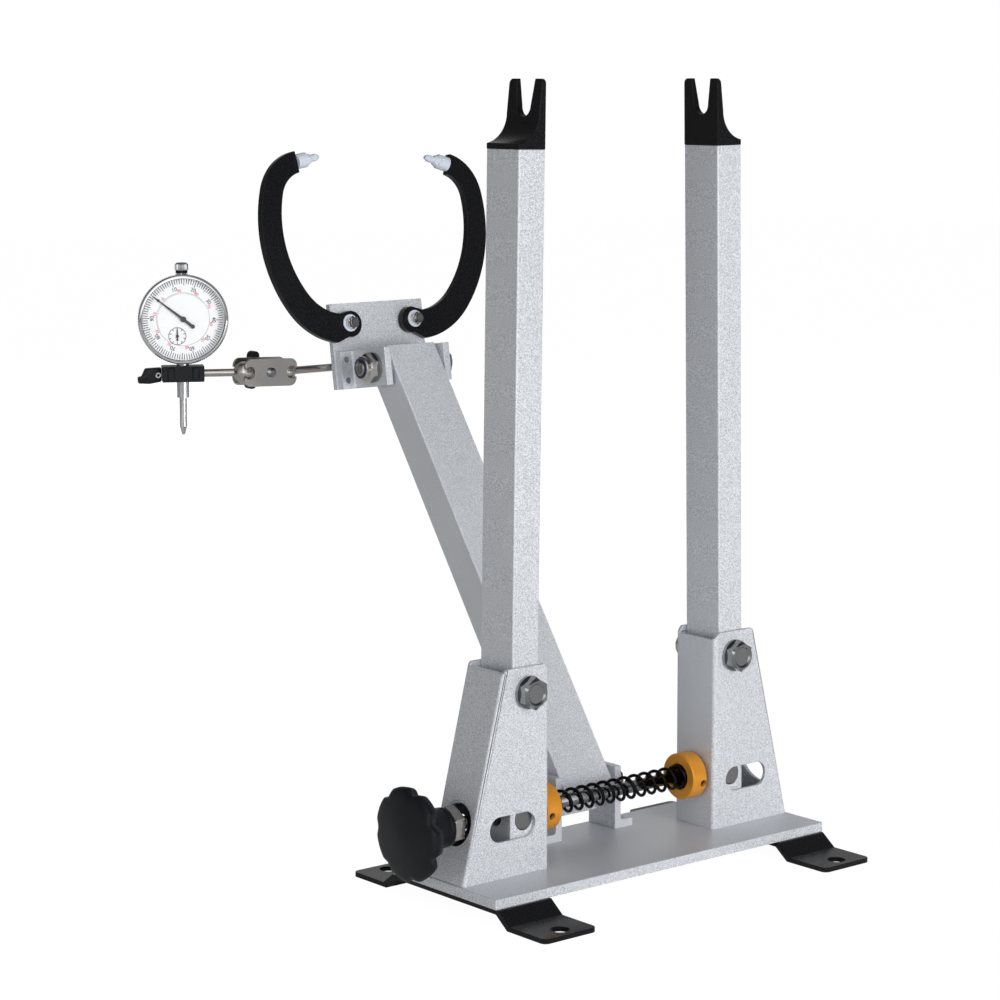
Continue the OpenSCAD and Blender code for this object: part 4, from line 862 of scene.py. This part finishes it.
tower = corners("left_tower")
foot_z, top_z = tower[:, 2].min(), tower[:, 2].max()
foot_x = tower[tower[:, 2] < foot_z + NEAR, 0].min()
top_x = tower[tower[:, 2] > top_z - NEAR, 0].min()
lean = (top_x - foot_x) / (top_z - foot_z)
inward = np.array([1, 0, -lean]) / math.hypot(1, lean)
hole = np.array([foot_x + lean * (SCREW_Z - foot_z), 0, SCREW_Z])
# Painted shade: a black disc behind the hole stands for the dark inside of the tower.
turned("hole_shade_disc", [(3.05, 6.5), (3.05, 15.2), (3.4, 15.6), (4.2, 15.6), (4.6, 15.2),
                       (4.6, 6.5)],
       hole, inward, "base", black_plastic, 72, loop=True)
turned("hole_rim", [(0.02, 12.9), (0.02, 14.5), (2.98, 14.5), (2.98, 12.9)],
       hole, inward, "base", silver_paint, 96, loop=True)

screws = corners("strap_screws")
for sx in (-1, 1):
    for sy in (-1, 1):
        end = screws[(screws[:, 0] * sx > 0) & (screws[:, 1] * sy > 0)]
        end = end[end[:, 2] > end[:, 2].max() - 2 * NEAR]
        middle = (end.min(0) + end.max(0)) / 2
        radius = np.linalg.norm(end - middle, axis=1).max() / MM + PLUG_ROOM
        depth = (foot_z - PLUG_SINK - middle[2]) / MM
        plug = [(0, 0.1), (0, radius), (depth - PLUG_EDGE, radius),
                (depth, radius - PLUG_EDGE), (depth, 0.1)]
        turned(f"plate_plug_{sx + 1}_{sy + 1}", plug, middle, UP, "base",
               silver_paint, 48)
print("wall leans", round(math.degrees(math.atan(lean)), 1), "degrees; four plugs, radius",
      round(radius, 2), "depth", round(depth, 2))

# %% [markdown]
# A lock nut has a chamfered hexagon, a round collar above it, and in the collar a ring of
# blue nylon that grips the bolt's end. It could be one turned skin, but nut and ring are two
# materials, so they are two turned parts.

# %% Lock nuts
HEXAGON_SHARE, COLLAR_SHARE = 0.66, 0.93


def lock_nut(name, points, axis, flats, bore, body):
    """A nut on a seat: hexagon up to a share of the height, then the collar."""
    at, height = seat_of(points, axis)
    h, corner, collar = height / MM, corner_radius(flats), flats / 2 * COLLAR_SHARE
    hexagon, wall = h * HEXAGON_SHARE, collar - bore
    profile = [(0, bore), (0, corner * 0.95), (h * 0.04, corner), (hexagon * 0.86, corner),
               (hexagon, collar), (h * 0.92, collar * 0.97), (h, collar * 0.88),
               (h, bore + wall * 0.55), (h * 0.95, bore + wall * 0.5), (h * 0.95, bore)]
    turned(name, profile, at, axis, body, bright_zinc, 120, flats=flats,
           loop=True)
    ring = [(h * 0.951, bore), (h * 0.985, bore + 0.1), (h * 0.985, bore + wall * 0.46),
            (h * 0.951, bore + wall * 0.5)]
    turned(name + "_ring", ring, at, axis, body, blue_nylon, 60, loop=True)
    print(name, [round(c / MM, 1) for c in at], round(h, 1))


for name, pair, axis, flats, bore in (
        ("head_nut", False, (-1, 0, 0), 17, 5.05), ("arm_nut", False, (-1, 0, 0), 17, 5.05),
        ("tower_nuts", True, (0, 1, 0), 17, 5.05), ("finger_nuts", True, front, 7.6, 2.05)):
    for side, half in by_side(name, pair).items():
        lock_nut(f"{side}_{name}", half, axis, flats, bore, body_of[name])
    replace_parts(bpy.data.objects["left_" + name], name)

# %% [markdown]
# The thumb screw has a flat wing with a slanted side and a tab below, and a bright pin goes
# through it next to the holder. The wing is an outline given a thickness, and the same
# easing that rounds the plates takes its edges off.

# %% Thumb screw
WING = [(-0.4, -5.0), (-7.9, -6.3), (-15.2, -5.9), (-15.5, -1.9), (-13.1, -1.5), (-10.7, 3.7),
        (-0.4, 4.2)]
LEFT_END, MIDDLE_Y, MIDDLE_Z = -13.6, 7.7, -35.8
rows = np.array([[on_gauge(LEFT_END + x, y, MIDDLE_Z + z) for x, z in WING]
                 for y in (MIDDLE_Y - 2.5, MIDDLE_Y + 2.5)])
count = len(WING)
walls = [[i, i + count, (i + 1) % count + count, (i + 1) % count] for i in range(count)]
ends = [list(range(count)), list(range(2 * count - 1, count - 1, -1))]
prism = bpy.data.meshes.new("wing")
prism.from_pydata(rows.reshape(-1, 3).tolist(), [], ends + walls)
wing = piece("thumb_wing", ease(prism, 0.7), "thumb_screw", black_plastic)
outward(wing)
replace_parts(wing, "holder_screw")
turned("thumb_pin", [(0, 0.4), (0, 1.5), (0.3, 1.9), (1.2, 1.9), (1.4, 1.7), (1.4, 0.9),
                     (0.8, 0.7)],
       on_gauge(LEFT_END - 2.4, MIDDLE_Y - 2.2, MIDDLE_Z - 0.6), -REAR, "thumb_screw",
       chrome, 48, loop=True)
print("thumb screw made")

# %% [markdown]
# The studio is plain: a pale floor without edges that shows as white to the camera and keeps
# a light shadow. More light would whiten the floor too, but it would also bleach the object,
# so part of the floor's colour is a steady glow that only the camera sees, and the rest
# answers to the lights.

# %% Floor
FLOOR_GLOW, GLOW_STRENGTH, FLOOR_HALF = 0.90, 1.08, 6


def seen_rays(graph):
    """1 for rays from the camera, straight or through glass, and 0 for light itself."""
    direct, through = (graph.add("LightPath", {}, {}, kind)
                       for kind in ("Is Camera Ray", "Is Transmission Ray"))
    return (direct + through).clamped()


pale = Finish("pale_floor", {"Base Color": (0.86, 0.86, 0.86), "Roughness": 0.9,
                             "Specular IOR Level": 0.0})
glow = pale.add("Emission", {}, {"Color": (1.0, 1.0, 1.0), "Strength": GLOW_STRENGTH})
both = pale.add("MixShader", {}, {0: seen_rays(pale) * FLOOR_GLOW,
                                  1: Wire(pale, pale.shader.outputs[0]), 2: glow})
pale.set(pale.tree.nodes["Material Output"], {"Surface": both})
floor_mesh = bpy.data.meshes.new("floor")
floor_mesh.from_pydata([(x * FLOOR_HALF, y * FLOOR_HALF, 0)
                        for x, y in ((-1, -1), (1, -1), (1, 1), (-1, 1))], [], [(0, 1, 2, 3)])
floor_mesh.materials.append(pale.material)
floor = bpy.data.objects.new("floor", floor_mesh)
bpy.context.scene.collection.objects.link(floor)
print("floor laid")

# %% [markdown]
# Metal looks like metal only when it mirrors light and dark. A photographer stands white
# and black cards round it. Here the world does that for light and mirrors: it is bright to
# two sides, most on the one near the camera, faintly striped, and dim above and below, all
# from the direction in which a ray looks. The camera itself sees it as plain white.

# %% World
DIM, BRIGHT, STRIPES = 0.17, 1.5, 6
BRIGHT_SIDE = math.radians(50)

world = bpy.data.worlds.new("studio")
world.use_nodes = True
bpy.context.scene.world = world
sky = Graph(world.node_tree)
look = sky.add("TexCoord", {}, {}, "Generated")
across, away, up = (sky.add("SeparateXYZ", {}, {"Vector": look}, part) for part in "XYZ")
heading = away.math("ARCTAN2", across)
lobes = ((heading - BRIGHT_SIDE) * 2).math("COSINE") * 0.5 + 0.5
nearer = 0.65 - (heading - BRIGHT_SIDE).math("COSINE") * 0.35
stripes = (heading * STRIPES).math("COSINE") * 0.4 + 1
cards = lobes * lobes * nearer * stripes * BRIGHT + DIM
room = cards * (1 - up.clamped() * 0.75) * (1 - (0 - up).clamped() * 0.4)
seen = seen_rays(sky)
sky.set(sky.tree.nodes["Background"], {"Color": (1, 1, 1, 1),
                                       "Strength": seen + (1 - seen) * room})
print("world ready")

# %% [markdown]
# Three square lamps finish the light: a large one in front, a weak one from the left and one
# behind that lifts the rear. Mirrors don't see them, or each would leave a hard white square
# on the black plastic.

# %% Lamps
def soft_light(name, at, aim, size, power):
    """A square lamp at one point that faces another.

    It is tipped by the angle between straight down and the aim, and turned to its heading.
    """
    lamp = bpy.data.lights.new(name, "AREA")
    lamp.size, lamp.energy = size, power
    thing = bpy.data.objects.new(name, lamp)
    thing.location = at
    towards = np.array(aim) - np.array(at)
    flat = math.hypot(towards[0], towards[1])
    thing.rotation_euler = (math.atan2(flat, -towards[2]), 0,
                            math.atan2(towards[1], towards[0]) - math.pi / 2)
    thing.visible_glossy = False
    bpy.context.scene.collection.objects.link(thing)


soft_light("key", at=(0.25, -2.6, 0.45), aim=(0, 0, 0.25), size=1.3, power=70)
soft_light("side", at=(-2.4, -0.4, 0.6), aim=(0, 0, 0.2), size=0.9, power=8)
soft_light("back", at=(0.9, 2.6, 0.6), aim=(0, 0, 0.25), size=1.3, power=26)
print("studio ready")
